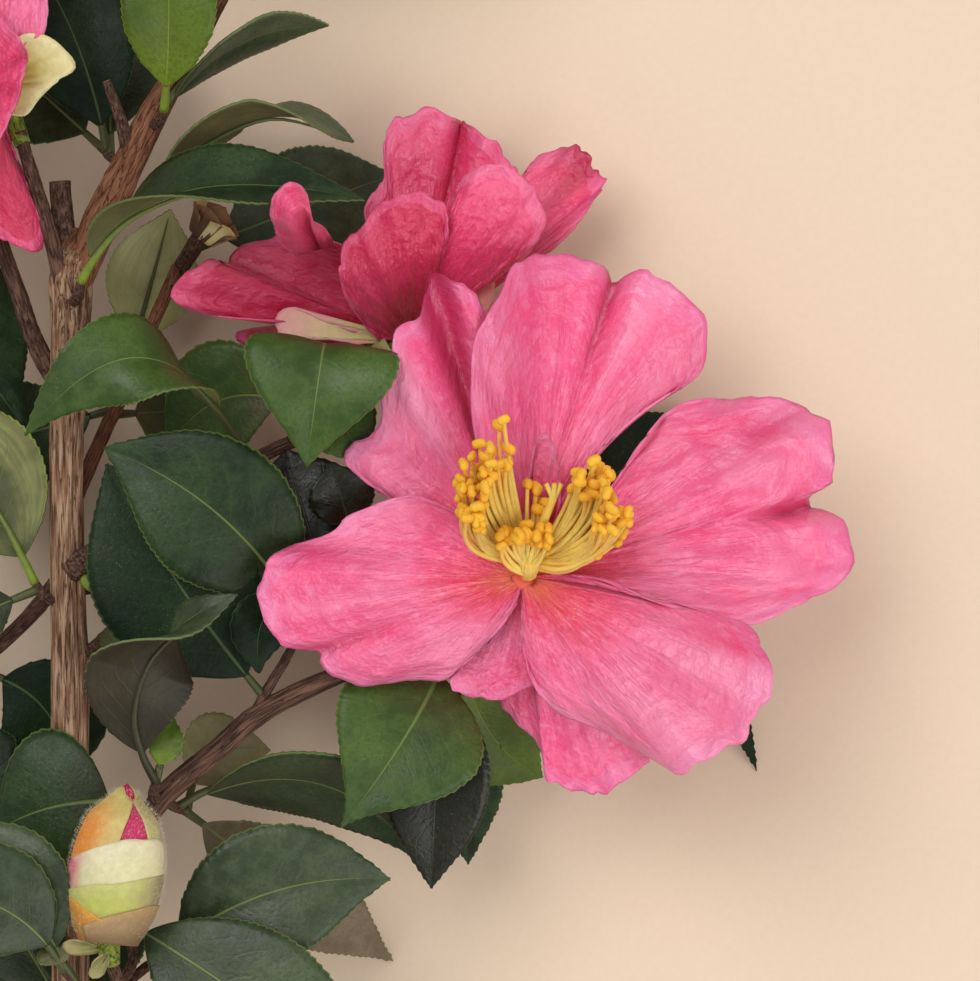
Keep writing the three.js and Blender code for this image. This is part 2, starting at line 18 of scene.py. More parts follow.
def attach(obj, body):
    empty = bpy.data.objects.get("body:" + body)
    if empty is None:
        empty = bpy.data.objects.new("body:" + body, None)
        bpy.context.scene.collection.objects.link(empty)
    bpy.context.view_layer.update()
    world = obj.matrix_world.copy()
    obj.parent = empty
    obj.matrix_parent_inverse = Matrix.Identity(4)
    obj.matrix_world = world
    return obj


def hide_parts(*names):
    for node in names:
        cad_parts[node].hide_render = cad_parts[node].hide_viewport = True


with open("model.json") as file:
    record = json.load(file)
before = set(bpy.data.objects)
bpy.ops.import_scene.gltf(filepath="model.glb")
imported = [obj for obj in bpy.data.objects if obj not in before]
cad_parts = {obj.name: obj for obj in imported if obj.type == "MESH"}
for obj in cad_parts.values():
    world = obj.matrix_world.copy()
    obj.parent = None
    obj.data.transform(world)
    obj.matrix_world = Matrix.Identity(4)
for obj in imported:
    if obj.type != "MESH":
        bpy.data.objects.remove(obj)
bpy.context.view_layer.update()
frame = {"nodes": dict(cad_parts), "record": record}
bpy.ops.object.select_all(action="DESELECT")
print("solids in the frame:", len(frame["nodes"]))

# %% [markdown]
# ## Where things are
# The branch is laid out in millimetres, X to the right of the picture, Y up the picture and Z towards the
# camera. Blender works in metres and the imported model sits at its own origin, so one known place, the cut
# end of the stem, ties the two together. Every mesh is shaped in millimetres and moved over at the very
# end.

# %% From layout millimetres to scene metres
CUT_END = np.array([-1.0, -12.0, 30.0])
cut_end_place = np.array(frame["record"]["mounts"][0]["pos_m"])


def metres(places):
    return (np.asarray(places, float) - CUT_END) / 1000 + cut_end_place


print("cut end of the stem, m:", metres(CUT_END).round(4))

# %% [markdown]
# ## Directions and routes
# A gardener would describe a leaf by where it points: its bearing round the picture and its climb towards
# the camera. A limb is a smooth route through a few places. Blender has curve objects for that, but here
# leaves and petals need the route's places as numbers, so the same spline as the frame's is written out
# once.

# %% Directions
UP = np.array([0.0, 0.0, 1.0])


def unit(v):
    return v / np.linalg.norm(v, axis=-1, keepdims=True)


def direction(bearing, climb):
    turn, rise = np.radians(bearing), np.radians(climb)
    return np.array([np.cos(rise) * np.cos(turn), np.cos(rise) * np.sin(turn), np.sin(rise)])


# %% A smooth route through places


def route(places, t):
    """Places along a centripetal spline, t from 0 to 1. A fourth number, the radius, changes evenly."""
    places = np.asarray(places, float)
    ends = np.array([2 * places[0] - places[1], *places, 2 * places[-1] - places[-2]])
    step = np.clip(np.asarray(t, float), 0, 1) * (len(places) - 1)
    i = np.minimum(step.astype(int), len(places) - 2)
    w = (step - i)[:, None]
    p0, p1, p2, p3 = (ends[i + k, :3] for k in range(4))
    d0, d1, d2 = (np.sqrt(np.linalg.norm(b - a, axis=1))[:, None] for a, b in ((p0, p1), (p1, p2), (p2, p3)))
    m1 = ((p1 - p0) / d0 - (p2 - p0) / (d0 + d1) + (p2 - p1) / d1) * d1
    m2 = ((p2 - p1) / d1 - (p3 - p1) / (d1 + d2) + (p3 - p2) / d2) * d1
    spots = p1 + m1 * w + (3 * (p2 - p1) - 2 * m1 - m2) * w**2 + (2 * (p1 - p2) + m1 + m2) * w**3
    if places.shape[1] == 3:
        return spots
    radius = places[i, 3:] * (1 - w) + places[i + 1, 3:] * w
    return np.hstack([spots, radius])


def length_through(places):
    return np.linalg.norm(np.diff(np.asarray(places, float)[:, :3], axis=0), axis=1).sum()


def curved(foot, pull, tip, t):
    """A simple curve from foot to tip that leans over to the place pull."""
    return foot * (1 - t) ** 2 + pull * 2 * t * (1 - t) + tip * t**2


# %% Smooth noise, the same at every run
NOISE_CELLS = 256


def grain(x, y, seed, wrap=NOISE_CELLS):
    """Noise from -1 to 1 over a plane. It repeats after wrap steps of x, so that it closes round a stem."""
    table = np.random.default_rng(seed).uniform(-1, 1, (NOISE_CELLS, NOISE_CELLS))
    i, j = np.floor(x).astype(int), np.floor(y).astype(int)
    fx, fy = x - i, y - j
    fx, fy = fx * fx * (3 - 2 * fx), fy * fy * (3 - 2 * fy)

    def at(a, b):
        return table[((i + a) % wrap) % NOISE_CELLS, (j + b) % NOISE_CELLS]

    near = at(0, 0) * (1 - fx) + at(1, 0) * fx
    far = at(0, 1) * (1 - fx) + at(1, 1) * fx
    return near * (1 - fy) + far * fy


# %% [markdown]
# ## One sheet for everything
# Leaves, petals and bud scales are sheets, and a stem is a sheet rolled up. So every piece starts as
# Blender's grid primitive, which comes with a UV map, and its vertices are then moved to their places.
# Leaves and petals get their thickness from a Solidify modifier, and a rolled sheet has its seam merged.
# Box or cylinder primitives would need far more shaping to get the same soft edges.

# %% Making, shaping and finishing a sheet
MERGE_DISTANCE = 2e-6


def new_sheet(name, across, along):
    """A grid of faces with its places u (across) and v (along), both 0 to 1."""
    bpy.ops.mesh.primitive_grid_add(x_subdivisions=across, y_subdivisions=along, size=1)
    piece = bpy.context.object
    piece.name = name
    flat = np.empty(len(piece.data.vertices) * 3)
    piece.data.vertices.foreach_get("co", flat)
    return piece, flat[0::3] + 0.5, flat[1::3] + 0.5


def move_to(piece, places):
    piece.data.vertices.foreach_set("co", metres(places).astype(np.float32).ravel())
    piece.data.update()


def finish_with(piece, *materials):
    for material in materials:
        piece.data.materials.append(material)


def make_active(piece):
    bpy.ops.object.select_all(action="DESELECT")
    piece.select_set(True)
    bpy.context.view_layer.objects.active = piece


def thicken(piece, thickness):
    """Gives a sheet its thickness in mm; the under sheet takes the second material."""
    make_active(piece)
    solidify = piece.modifiers.new("thickness", "SOLIDIFY")
    solidify.thickness = thickness / 1000
    solidify.offset = 0
    solidify.material_offset = 1
    bpy.ops.object.modifier_apply(modifier=solidify.name)
    bpy.ops.object.shade_smooth()


def close_up(piece, merged=True):
    """Merges doubled vertices where asked, and turns every face outwards."""
    make_active(piece)
    bpy.ops.object.mode_set(mode="EDIT")
    bpy.ops.mesh.select_all(action="SELECT")
    if merged:
        bpy.ops.mesh.remove_doubles(threshold=MERGE_DISTANCE)
    bpy.ops.mesh.normals_make_consistent(inside=False)
    bpy.ops.object.mode_set(mode="OBJECT")
    if merged:
        bpy.ops.object.shade_smooth()


def joined(name, parts, slot, *nodes):
    """Joins parts into one piece that rides on the branch and stands for those solids."""
    bpy.ops.object.select_all(action="DESELECT")
    for part in parts:
        part.select_set(True)
    bpy.context.view_layer.objects.active = parts[0]
    if len(parts) > 1:
        bpy.ops.object.join()
    piece = bpy.context.object
    piece.name = name
    piece.data.name = name
    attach(piece, "root")
    if nodes:
        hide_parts(*nodes)
    print(f"{name}: {len(piece.data.polygons)} faces")


# %% [markdown]
# A rolled sheet: u goes round the stem and v along it. Rows of radius nought close both ends, and merging
# doubled vertices by distance then zips the seam and gathers each end into one point.

# %% Rolling a sheet into a stem
FIRST_SIDE = np.array([0.3, 0.1, 1.0])
LOOK_AHEAD = 0.002
LENGTH_STEPS = 60


def sideways_along(along):
    """For each ring a direction square to the stem, carried on so that the tube never twists."""
    sides = np.zeros_like(along)
    last = FIRST_SIDE
    for row, ahead in enumerate(along):
        last = unit(last - ahead * (last @ ahead))
        sides[row] = last
    return sides


def roll_up(name, places, sides, rings, relief=None):
    """A stem through [x, y, z, radius] places; relief(u, length) adds to the radius in mm."""
    piece, u, v = new_sheet(name, sides, rings + 2)
    ring = np.clip((v * (rings + 2) - 1) / rings, 0, 1)
    spots = route(places, ring)
    ahead, behind = (route(places, np.clip(ring + step, 0, 1)) for step in (LOOK_AHEAD, -LOOK_AHEAD))
    along = unit(ahead[:, :3] - behind[:, :3])
    first_of_row = np.argsort(v, kind="stable")[:: sides + 1]
    across = sideways_along(along[first_of_row])[np.round(v * (rings + 2)).astype(int)]
    up = np.cross(along, across)
    turn = 2 * np.pi * u
    out = across * np.cos(turn)[:, None] + up * np.sin(turn)[:, None]
    radius = spots[:, 3].copy()
    if relief is not None:
        length = length_through(route(places, np.linspace(0, 1, LENGTH_STEPS)))
        radius += relief(u % 1, ring * length)
    half_row = 0.5 / (rings + 2)
    radius[(v < half_row) | (v > 1 - half_row)] = 0
    move_to(piece, spots[:, :3] + out * radius[:, None])
    close_up(piece)
    return piece


# %% [markdown]
# ## Finishes
# A real camellia leaf is dark, leathery and glossy, with a pale sunken rib and faint side veins. All of
# that can come from one Principled shader whose colour, roughness and bump are worked out from the leaf's
# own UV map. A painted image would do too, but a pattern of nodes stays sharp however close the camera
# comes.
#
# A finish is easier to read as a formula than as a list of nodes. So a Field stands for one socket, a value
# that varies over the surface, and plus, minus and times between fields add the Math nodes. Scales of noise
# that lies on object coordinates are in waves per metre.

# %% Adding nodes


def add(tree, kind, inputs, **properties):
    """Adds a node; inputs that are fields are linked, other inputs are set."""
    node = tree.nodes.new(kind)
    for key, value in properties.items():
        setattr(node, key, value)
    for key, value in inputs.items():
        if isinstance(value, Field):
            tree.links.new(value.socket, node.inputs[key])
        else:
            node.inputs[key].default_value = value
    return node


class Field:
    """A value that varies over a finish: the socket of a node, with arithmetic that adds more nodes."""

    def __init__(self, socket):
        self.socket = socket
        self.tree = socket.id_data

    def math(self, operation, *values):
        node = add(self.tree, "ShaderNodeMath", dict(enumerate(values)), operation=operation)
        return Field(node.outputs[0])

    def __add__(self, other):
        return self.math("ADD", self, other)

    def __sub__(self, other):
        return self.math("SUBTRACT", self, other)

    def __rsub__(self, other):
        return self.math("SUBTRACT", other, self)

    def __mul__(self, other):
        return self.math("MULTIPLY", self, other)

    def __truediv__(self, other):
        return self.math("DIVIDE", self, other)

    def __pow__(self, other):
        return self.math("POWER", self, other)

    def __gt__(self, other):
        return self.math("GREATER_THAN", self, other)

    def __abs__(self):
        return self.math("ABSOLUTE", self)

    def sine(self):
        return self.math("SINE", self)

    def folded(self):
        """Runs from 0 to a half and back, over and over, so that noise gets thin forking level lines."""
        return self.math("PINGPONG", self, 0.5)

    def eased(self, low, high, start=0.0, end=1.0):
        """Eases from start to end while the field goes from low to high."""
        inputs = {"Value": self, "From Min": low, "From Max": high, "To Min": start, "To Max": end}
        node = add(self.tree, "ShaderNodeMapRange", inputs, interpolation_type="SMOOTHSTEP")
        return Field(node.outputs[0])

    def noise(self, scale, detail=3.0):
        inputs = {"Vector": self, "Scale": scale, "Detail": detail}
        return Field(add(self.tree, "ShaderNodeTexNoise", inputs).outputs[0])

    def streaks(self, across, along, detail=3.0):
        """Noise with so many waves across and along the UV map."""
        stretched = add(self.tree, "ShaderNodeMapping", {"Vector": self, "Scale": (across, along, 1.0)})
        return Field(stretched.outputs[0]).noise(1.0, detail)

    def u_and_v(self):
        split = add(self.tree, "ShaderNodeSeparateXYZ", {"Vector": self})
        return Field(split.outputs[0]), Field(split.outputs[1])


def blend(share, colour, other):
    """Two colours mixed by a field; each is a field or a tuple of red, green and blue."""
    first, second = (value if isinstance(value, Field) else (*value, 1) for value in (colour, other))
    mix = add(share.tree, "ShaderNodeMix", {"Factor": share, 6: first, 7: second}, data_type="RGBA")
    return Field(mix.outputs[2])


def colour_ramp(value, stops):
    """A colour that runs through stops of (value, colour) in between."""
    ramp = add(value.tree, "ShaderNodeValToRGB", {"Fac": value})
    elements = ramp.color_ramp.elements
    for position, colour in stops[1:-1]:
        elements.new(position).color = (*colour, 1)
    for element, (position, colour) in ((elements[0], stops[0]), (elements[-1], stops[-1])):
        element.position = position
        element.color = (*colour, 1)
    return Field(ramp.outputs[0])


def tinted(colour, shares):
    return tuple(part * share for part, share in zip(colour, shares))


# %% Starting and ending a finish


def new_finish(name, settings):
    """A material, its UV map and its object coordinates; settings go to its Principled shader."""
    material = bpy.data.materials.new(name)
    material.use_nodes = True
    shader = material.node_tree.nodes["Principled BSDF"]
    for socket, value in settings.items():
        shader.inputs[socket].default_value = value
    coordinates = add(material.node_tree, "ShaderNodeTexCoord", {})
    return material, Field(coordinates.outputs["UV"]), Field(coordinates.outputs["Object"])


def dressed(material, colour, height, strength, distance, roughness=None):
    """The material with its colour, its bump and, where one is given, its roughness linked up."""
    tree = material.node_tree
    shader = tree.nodes["Principled BSDF"]
    tree.links.new(colour.socket, shader.inputs["Base Color"])
    if roughness is not None:
        tree.links.new(roughness.socket, shader.inputs["Roughness"])
    bump = add(tree, "ShaderNodeBump", {"Height": height, "Strength": strength, "Distance": distance})
    tree.links.new(bump.outputs[0], shader.inputs["Normal"])
    return material


# %% [markdown]
# ### Leaves
# u runs across the leaf and v from its foot to its tip, so the distance from the rib is |u - 0.5|. The rib
# of a real leaf is widest at the foot and fades towards the tip, while the sheet itself is narrow at both
# ends, so the rib's share of the width is worked out from v. Side veins lie sunken and barely show: they
# are the places where v times the number of veins, less a bend that grows towards the margin, is a whole
# number.
#
# The waxy skin gives a soft sheen, a fine grain breaks it up, and pale dust lies on the older leaves.

# %% The pattern of rib and veins
SIDE_VEINS = 8
VEIN_BEND = 2.4
VEIN_CURVE = 1.3
VEIN_SHIFT = 0.45
RIB_SHARE = 0.016


def leaf_pattern(uv):
    """(rib, side veins, margin) of a leaf, each 1 on the feature and 0 elsewhere, and its v."""
    u, v = uv.u_and_v()
    off_rib = abs(u - 0.5) * 2
    breadth = (v * np.pi).sine() + 0.12
    fading = (1.7 - v * 1.2) * RIB_SHARE
    rib = (off_rib * breadth / fading).eased(0.4, 1.4, 1, 0) * v.eased(0.72, 0.98, 1, 0.2)
    wobble = uv.noise(7.0) * 0.5
    phase = v * SIDE_VEINS + (wobble - off_rib**VEIN_CURVE * VEIN_BEND)
    off_vein = (phase + (u > 0.5) * VEIN_SHIFT).folded()
    vein = off_vein.eased(0, 0.09, 1, 0) * off_rib.eased(0.55, 0.9, 1, 0)
    return rib, vein, off_rib.eased(0.965, 0.995), v


# %% The leaf finishes
DUST = (0.32, 0.36, 0.26)
RIB_PALE = (0.19, 0.25, 0.07)


def leaf_finish(name, face, light, foot, rib_colour, gloss, shine):
    """The upper side: face and light are its colours in soft patches, foot the one next to the stalk."""
    material, uv, place = new_finish(name, {"Specular IOR Level": shine})
    rib, vein, margin, v = leaf_pattern(uv)
    patch = place.noise(70.0, 4.0)
    mottle = place.noise(420.0, 4.0)
    fine = place.noise(1500.0)
    colour = blend(patch.eased(0.36, 0.66), face, light)
    colour = blend(v.eased(0.02, 0.42, 0.85, 0), colour, foot)
    colour = blend(mottle.eased(0.42, 0.68, 0, 0.5), colour, light)
    colour = blend(fine.eased(0.38, 0.52, 0.4, 0), colour, face)
    for feature, share in ((vein, 0.035), (rib, 0.6), (margin, 0.5)):
        colour = blend(feature * share, colour, rib_colour)
    dusty = place.noise(3600.0, 2.0).eased(0.66, 0.74) * patch.eased(0.4, 0.62)
    colour = blend(dusty * 0.3, colour, DUST)
    height = fine * 0.7 + mottle * 0.8 - (vein * 0.12 + rib)
    roughness = mottle.eased(0.3, 0.75, gloss, gloss + 0.2)
    return dressed(material, colour, height, strength=0.5, distance=0.00025, roughness=roughness)


def underside_finish(name, face, light, rib_colour):
    """The under side: matt and olive, its rib and veins standing up."""
    material, uv, place = new_finish(name, {"Roughness": 0.6})
    rib, vein, margin, _ = leaf_pattern(uv)
    colour = blend(place.noise(90.0, 4.0).eased(0.36, 0.66), face, light)
    colour = blend(uv.streaks(22.0, 3.0, 4.0).eased(0.4, 0.62, 0.4, 0), colour, face)
    colour = blend(vein * 0.12, colour, rib_colour)
    colour = blend((rib + margin) * 0.6, colour, rib_colour)
    height = place.noise(1300.0) * 0.7 + (rib + vein * 0.5)
    return dressed(material, colour, height, strength=0.45, distance=0.0003)


UPPER_COLOURS = {
    "dark": dict(face=(0.007, 0.020, 0.006), light=(0.026, 0.056, 0.016), foot=(0.024, 0.030, 0.010)),
    "mid": dict(face=(0.026, 0.060, 0.008), light=(0.066, 0.120, 0.018), foot=(0.078, 0.052, 0.020)),
    # Painted sheen, in part: the next tone's lighter colour is the bluish grey of a glossy leaf's sheen.
    "sheen_grey": dict(face=(0.018, 0.036, 0.012), light=(0.066, 0.098, 0.042), foot=(0.014, 0.030, 0.010)),
    "blue": dict(face=(0.005, 0.015, 0.006), light=(0.014, 0.032, 0.012), foot=(0.006, 0.015, 0.007)),
    "black": dict(face=(0.005, 0.006, 0.003), light=(0.016, 0.017, 0.008), foot=(0.020, 0.012, 0.008)),
    "olive": dict(face=(0.050, 0.054, 0.014), light=(0.110, 0.108, 0.040), foot=(0.150, 0.150, 0.060)),
    "sage": dict(face=(0.250, 0.240, 0.115), light=(0.400, 0.375, 0.210), foot=(0.220, 0.220, 0.090)),
    "taupe": dict(face=(0.120, 0.085, 0.050), light=(0.230, 0.175, 0.120), foot=(0.110, 0.090, 0.050)),
    "young": dict(face=(0.046, 0.084, 0.004), light=(0.092, 0.150, 0.008), foot=(0.150, 0.220, 0.015)),
}
RIB_COLOURS = {"blue": (0.10, 0.15, 0.06), "black": (0.07, 0.09, 0.04), "young": (0.20, 0.28, 0.04)}
GLOSS = {"black": 0.24}
SHINE = {"blue": 0.12, "dark": 0.26, "sheen_grey": 0.40}
LOWER_COLOURS = {
    "dark": dict(face=(0.018, 0.015, 0.005), light=(0.046, 0.038, 0.013), rib_colour=(0.055, 0.050, 0.018)),
    "mid": dict(face=(0.070, 0.072, 0.020), light=(0.140, 0.138, 0.054), rib_colour=(0.20, 0.22, 0.08)),
    "pale": dict(face=(0.340, 0.350, 0.120), light=(0.520, 0.520, 0.250), rib_colour=(0.40, 0.48, 0.10)),
    "lime": dict(face=(0.040, 0.050, 0.005), light=(0.220, 0.230, 0.070), rib_colour=(0.26, 0.32, 0.05)),
}


def upper_finish(tone):
    """Most leaves share the pale rib and the same gloss; a few tones have their own."""
    rib_colour = RIB_COLOURS.get(tone, RIB_PALE)
    gloss, shine = GLOSS.get(tone, 0.33), SHINE.get(tone, 0.34)
    return leaf_finish("leaf_" + tone, **UPPER_COLOURS[tone], rib_colour=rib_colour, gloss=gloss, shine=shine)


LEAF_TONES = {tone: upper_finish(tone) for tone in UPPER_COLOURS}
UNDER_TONES = {}
for tone, colours in LOWER_COLOURS.items():
    UNDER_TONES[tone] = underside_finish("leaf_under_" + tone, **colours)
print("leaf finishes:", sorted(LEAF_TONES))

# %% [markdown]
# ### Petals
# A petal is thin, satiny and finely veined: the veins fan out from its foot. The petal sheets below are
# fans too, u round the rim and v from foot to rim, so noise that is squeezed along u and stretched along v
# follows the real veins, and folded back on itself its level lines become thin forking ones. The pink is
# coral at the foot and fades to mauve at the thin rim, a paler sheen is painted over it in patches, on the
# crests of the crinkles and in fine glints, and pollen is spilt near the foot.
#
# Each petal also keeps a number called fold at every vertex: above nought it lies in a fold or a curled edge,
# where shade is painted in as a deeper pink, and below nought it is on a ridge or a pleat's crest, where a
# paler highlight is painted in. A little light passes through, which subsurface scattering gives.

# %% The petal finishes
PETAL_SURFACE = {
    "Sheen Weight": 0.12,
    "Sheen Roughness": 0.3,
    "Sheen Tint": (1, 0.86, 0.92, 1),
    "Subsurface Weight": 0.1,
    "Subsurface Scale": 0.003,
    "Specular IOR Level": 0.65,
}
POLLEN = (1.0, 0.50, 0.05)
DEEPER = (0.86, 0.55, 0.66)
# Painted shade: how much of the face colour is kept deep in a fold.
FOLD_SHADE = (0.54, 0.22, 0.38)


def petal_finish(name, foot, heart, face, rim, painted_sheen):
    """Colours from the foot to the rim, and the paler pink that is painted on as sheen in soft patches."""
    material, uv, place = new_finish(name, PETAL_SURFACE)
    v = uv.u_and_v()[1]
    streaks = uv.streaks(60.0, 2.5, 6.0)
    crinkles = uv.streaks(34.0, 22.0, 5.0)
    grain_and_glint = place.noise(1900.0)
    veins = (uv.streaks(42.0, 2.2) * 7.0).folded().eased(0, 0.11, 1, 0) * v.eased(0.98, 0.6)
    reach = v + uv.streaks(14.0, 1.5) * 0.14
    colour = colour_ramp(reach, [(0.07, foot), (0.22, heart), (0.5, face), (0.98, face), (1.0, rim)])
    deeper, painted_fold_shade = tinted(face, DEEPER), tinted(face, FOLD_SHADE)
    colour = blend(streaks.eased(0.42, 0.7, 0, 0.3), colour, deeper)
    # Painted sheen: soft patches of the paler pink, away from the foot, where the satin catches the light.
    light = place.noise(62.0, 5.0).eased(0.34, 0.7) * v.eased(0.16, 0.5)
    colour = blend(light * 0.4, colour, painted_sheen)
    # Painted highlight: the crests of the crinkles take the paler sheen colour.
    colour = blend(crinkles.eased(0.5, 0.72, 0, 0.3), colour, painted_sheen)
    colour = blend(veins * 0.15, colour, deeper)
    # Painted glints: fine specks of the paler sheen colour; the same noise is a fine grain in the bump.
    colour = blend(grain_and_glint.eased(0.5, 0.7, 0, 0.16), colour, painted_sheen)
    # Painted shade in folds and painted highlight on ridges, read from the fold number of each vertex.
    fold = Field(add(material.node_tree, "ShaderNodeAttribute", {}, attribute_name="fold").outputs["Fac"])
    colour = blend(fold.eased(0.05, 1, 0, 0.9), colour, painted_fold_shade)
    colour = blend(fold.eased(-0.05, -1, 0, 0.6), colour, painted_sheen)
    pollen = place.noise(1700.0, 2.0).eased(0.70, 0.74) * v.eased(0.38, 0.12)
    colour = blend(pollen * 0.8, colour, POLLEN)
    furrows = streaks * 0.4 - veins * 0.16
    height = furrows + crinkles * v.eased(0.2, 0.9, 0.5, 1.5) + grain_and_glint * 0.16
    roughness = streaks.eased(0.3, 0.8, 0.28, 0.46)
    return dressed(material, colour, height, strength=0.7, distance=0.0006, roughness=roughness)


PINK = petal_finish(
    "petal_pink",
    foot=(0.94, 0.19, 0.06),
    heart=(0.87, 0.058, 0.115),
    face=(0.90, 0.078, 0.240),
    rim=(0.86, 0.13, 0.33),
    painted_sheen=(1.00, 0.38, 0.60),
)
MAGENTA = petal_finish(
    "petal_magenta",
    foot=(0.52, 0.008, 0.04),
    heart=(0.72, 0.018, 0.09),
    face=(0.86, 0.040, 0.165),
    rim=(0.86, 0.11, 0.28),
    painted_sheen=(0.97, 0.20, 0.38),
)
# Painted shade: the pink darkened to crimson, deepest at the foot, for petals that lie in shade.
SHADED_CRIMSON = petal_finish(
    "petal_shaded_crimson",
    foot=(0.34, 0.002, 0.015),
    heart=(0.40, 0.002, 0.022),
    face=(0.64, 0.016, 0.085),
    rim=(0.80, 0.09, 0.23),
    painted_sheen=(0.80, 0.085, 0.205),
)
print("petal finishes:", [finish.name for finish in (PINK, MAGENTA, SHADED_CRIMSON)])

# %% [markdown]
# ### Bark, stamens and bud scales
# The old stem has pale fibrous bark split lengthwise; the younger boughs are smoother and redder. Both are
# the same finish with other colours: noise stretched along the stem by its UV map. Stamens and scales are
# plain enough to take a soft ramp from foot to tip and a fine grain.

# %% The bark finishes


def bark_finish(name, crack, wood, strip, strands, roughness=0.8, young=None):
    """crack, wood and strip are its colours from the deepest split to the palest fibre, young the top's."""
    material, uv, place = new_finish(name, {"Roughness": roughness, "Specular IOR Level": 0.3})
    fibres = uv.streaks(strands, 0.8 * strands, 6.0)
    colour = blend(fibres.eased(0.40, 0.62), wood, strip)
    colour = blend(fibres.eased(0.27, 0.43, 1, 0), colour, crack)
    colour = blend(place.noise(160.0, 4.0).eased(0.45, 0.7, 0, 0.5), colour, wood)
    splits = (uv.streaks(0.7 * strands, 0.4 * strands, 4.0) * 6.0).folded().eased(0, 0.12, 1, 0)
    colour = blend(splits * 0.7, colour, crack)
    if young:
        reach = uv.u_and_v()[1] + (fibres - 0.5) * 0.16
        skin = blend(fibres.eased(0.35, 0.65), crack, young)
        colour = blend(reach.eased(0.85, 0.9), colour, skin)
    height = fibres + (place.noise(900.0) * 0.5 - splits * 0.5)
    return dressed(material, colour, height, strength=0.9, distance=0.0008)


BOUGH_RED = (0.19, 0.070, 0.034)
OLD_COLOURS = ((0.070, 0.030, 0.015), (0.200, 0.098, 0.052), (0.44, 0.28, 0.18))
RED_COLOURS = ((0.055, 0.020, 0.010), BOUGH_RED, (0.28, 0.125, 0.065))
TWIG_COLOURS = ((0.030, 0.014, 0.010), (0.075, 0.034, 0.022), (0.17, 0.09, 0.06))
GREEN_COLOURS = ((0.060, 0.090, 0.012), (0.170, 0.230, 0.030), (0.28, 0.34, 0.05))
OLD_BARK = bark_finish("bark_old", *OLD_COLOURS, strands=26, young=BOUGH_RED)
RED_BARK = bark_finish("bark_red", *RED_COLOURS, strands=20)
TWIG_BARK = bark_finish("bark_twig", *TWIG_COLOURS, strands=14)
GREEN_TWIG = bark_finish("bark_green", *GREEN_COLOURS, strands=8, roughness=0.5)

# %% A soft ramp from foot to tip
SOFT_LIGHT = {"Subsurface Weight": 0.2, "Subsurface Scale": 0.002}
OPAQUE = {}
GRAIN_SHADE = (0.6, 0.6, 0.6)


def ramp_finish(name, foot, middle, tip, roughness, settings=SOFT_LIGHT, grain_scale=900.0, side=None):
    """Colours of the foot, the middle and the tip; side is (u where it starts, u where it is full, colour)
    for a blush along one edge."""
    material, uv, place = new_finish(name, {"Roughness": roughness, **settings})
    u, v = uv.u_and_v()
    colour = blend(v.eased(0, 0.5), foot, middle)
    colour = blend(v.eased(0.5, 1), colour, tip)
    if side:
        start, full, blush = side
        wavering = u + (uv.streaks(12.0, 2.0) - 0.5) * 0.2
        colour = blend(wavering.eased(start, full), colour, blush)
    fine = place.noise(grain_scale, 2.0)
    colour = blend(fine.eased(0.35, 0.7, 0.25, 0), colour, tinted(middle, GRAIN_SHADE))
    return dressed(material, colour, fine, strength=0.35, distance=0.0003)


PETIOLE_COLOURS = {
    "plain": ((0.055, 0.060, 0.014), (0.070, 0.095, 0.022), (0.13, 0.17, 0.05), 0.5, OPAQUE),
    "dark": ((0.026, 0.024, 0.010), (0.040, 0.038, 0.014), (0.06, 0.055, 0.02), 0.5, OPAQUE),
    "lime": ((0.20, 0.30, 0.02), (0.13, 0.17, 0.03), (0.10, 0.11, 0.035), 0.45),
}
PETIOLES = {tone: ramp_finish("petiole_" + tone, *colours) for tone, colours in PETIOLE_COLOURS.items()}
print("materials:", len(bpy.data.materials))

# %% [markdown]
# ## The stem and its boughs
# The old stem is straight and fibrous, with a dead stub beside the fork. Each bough is one tapering limb
# through a few places, four numbers each: where it passes and how thick it is there. These are the frame's
# own routes. A curve with a bevel would give the tube, but not the bark's relief, so each limb is a rolled
# sheet whose radius swells and sinks with two sizes of lengthwise grain.

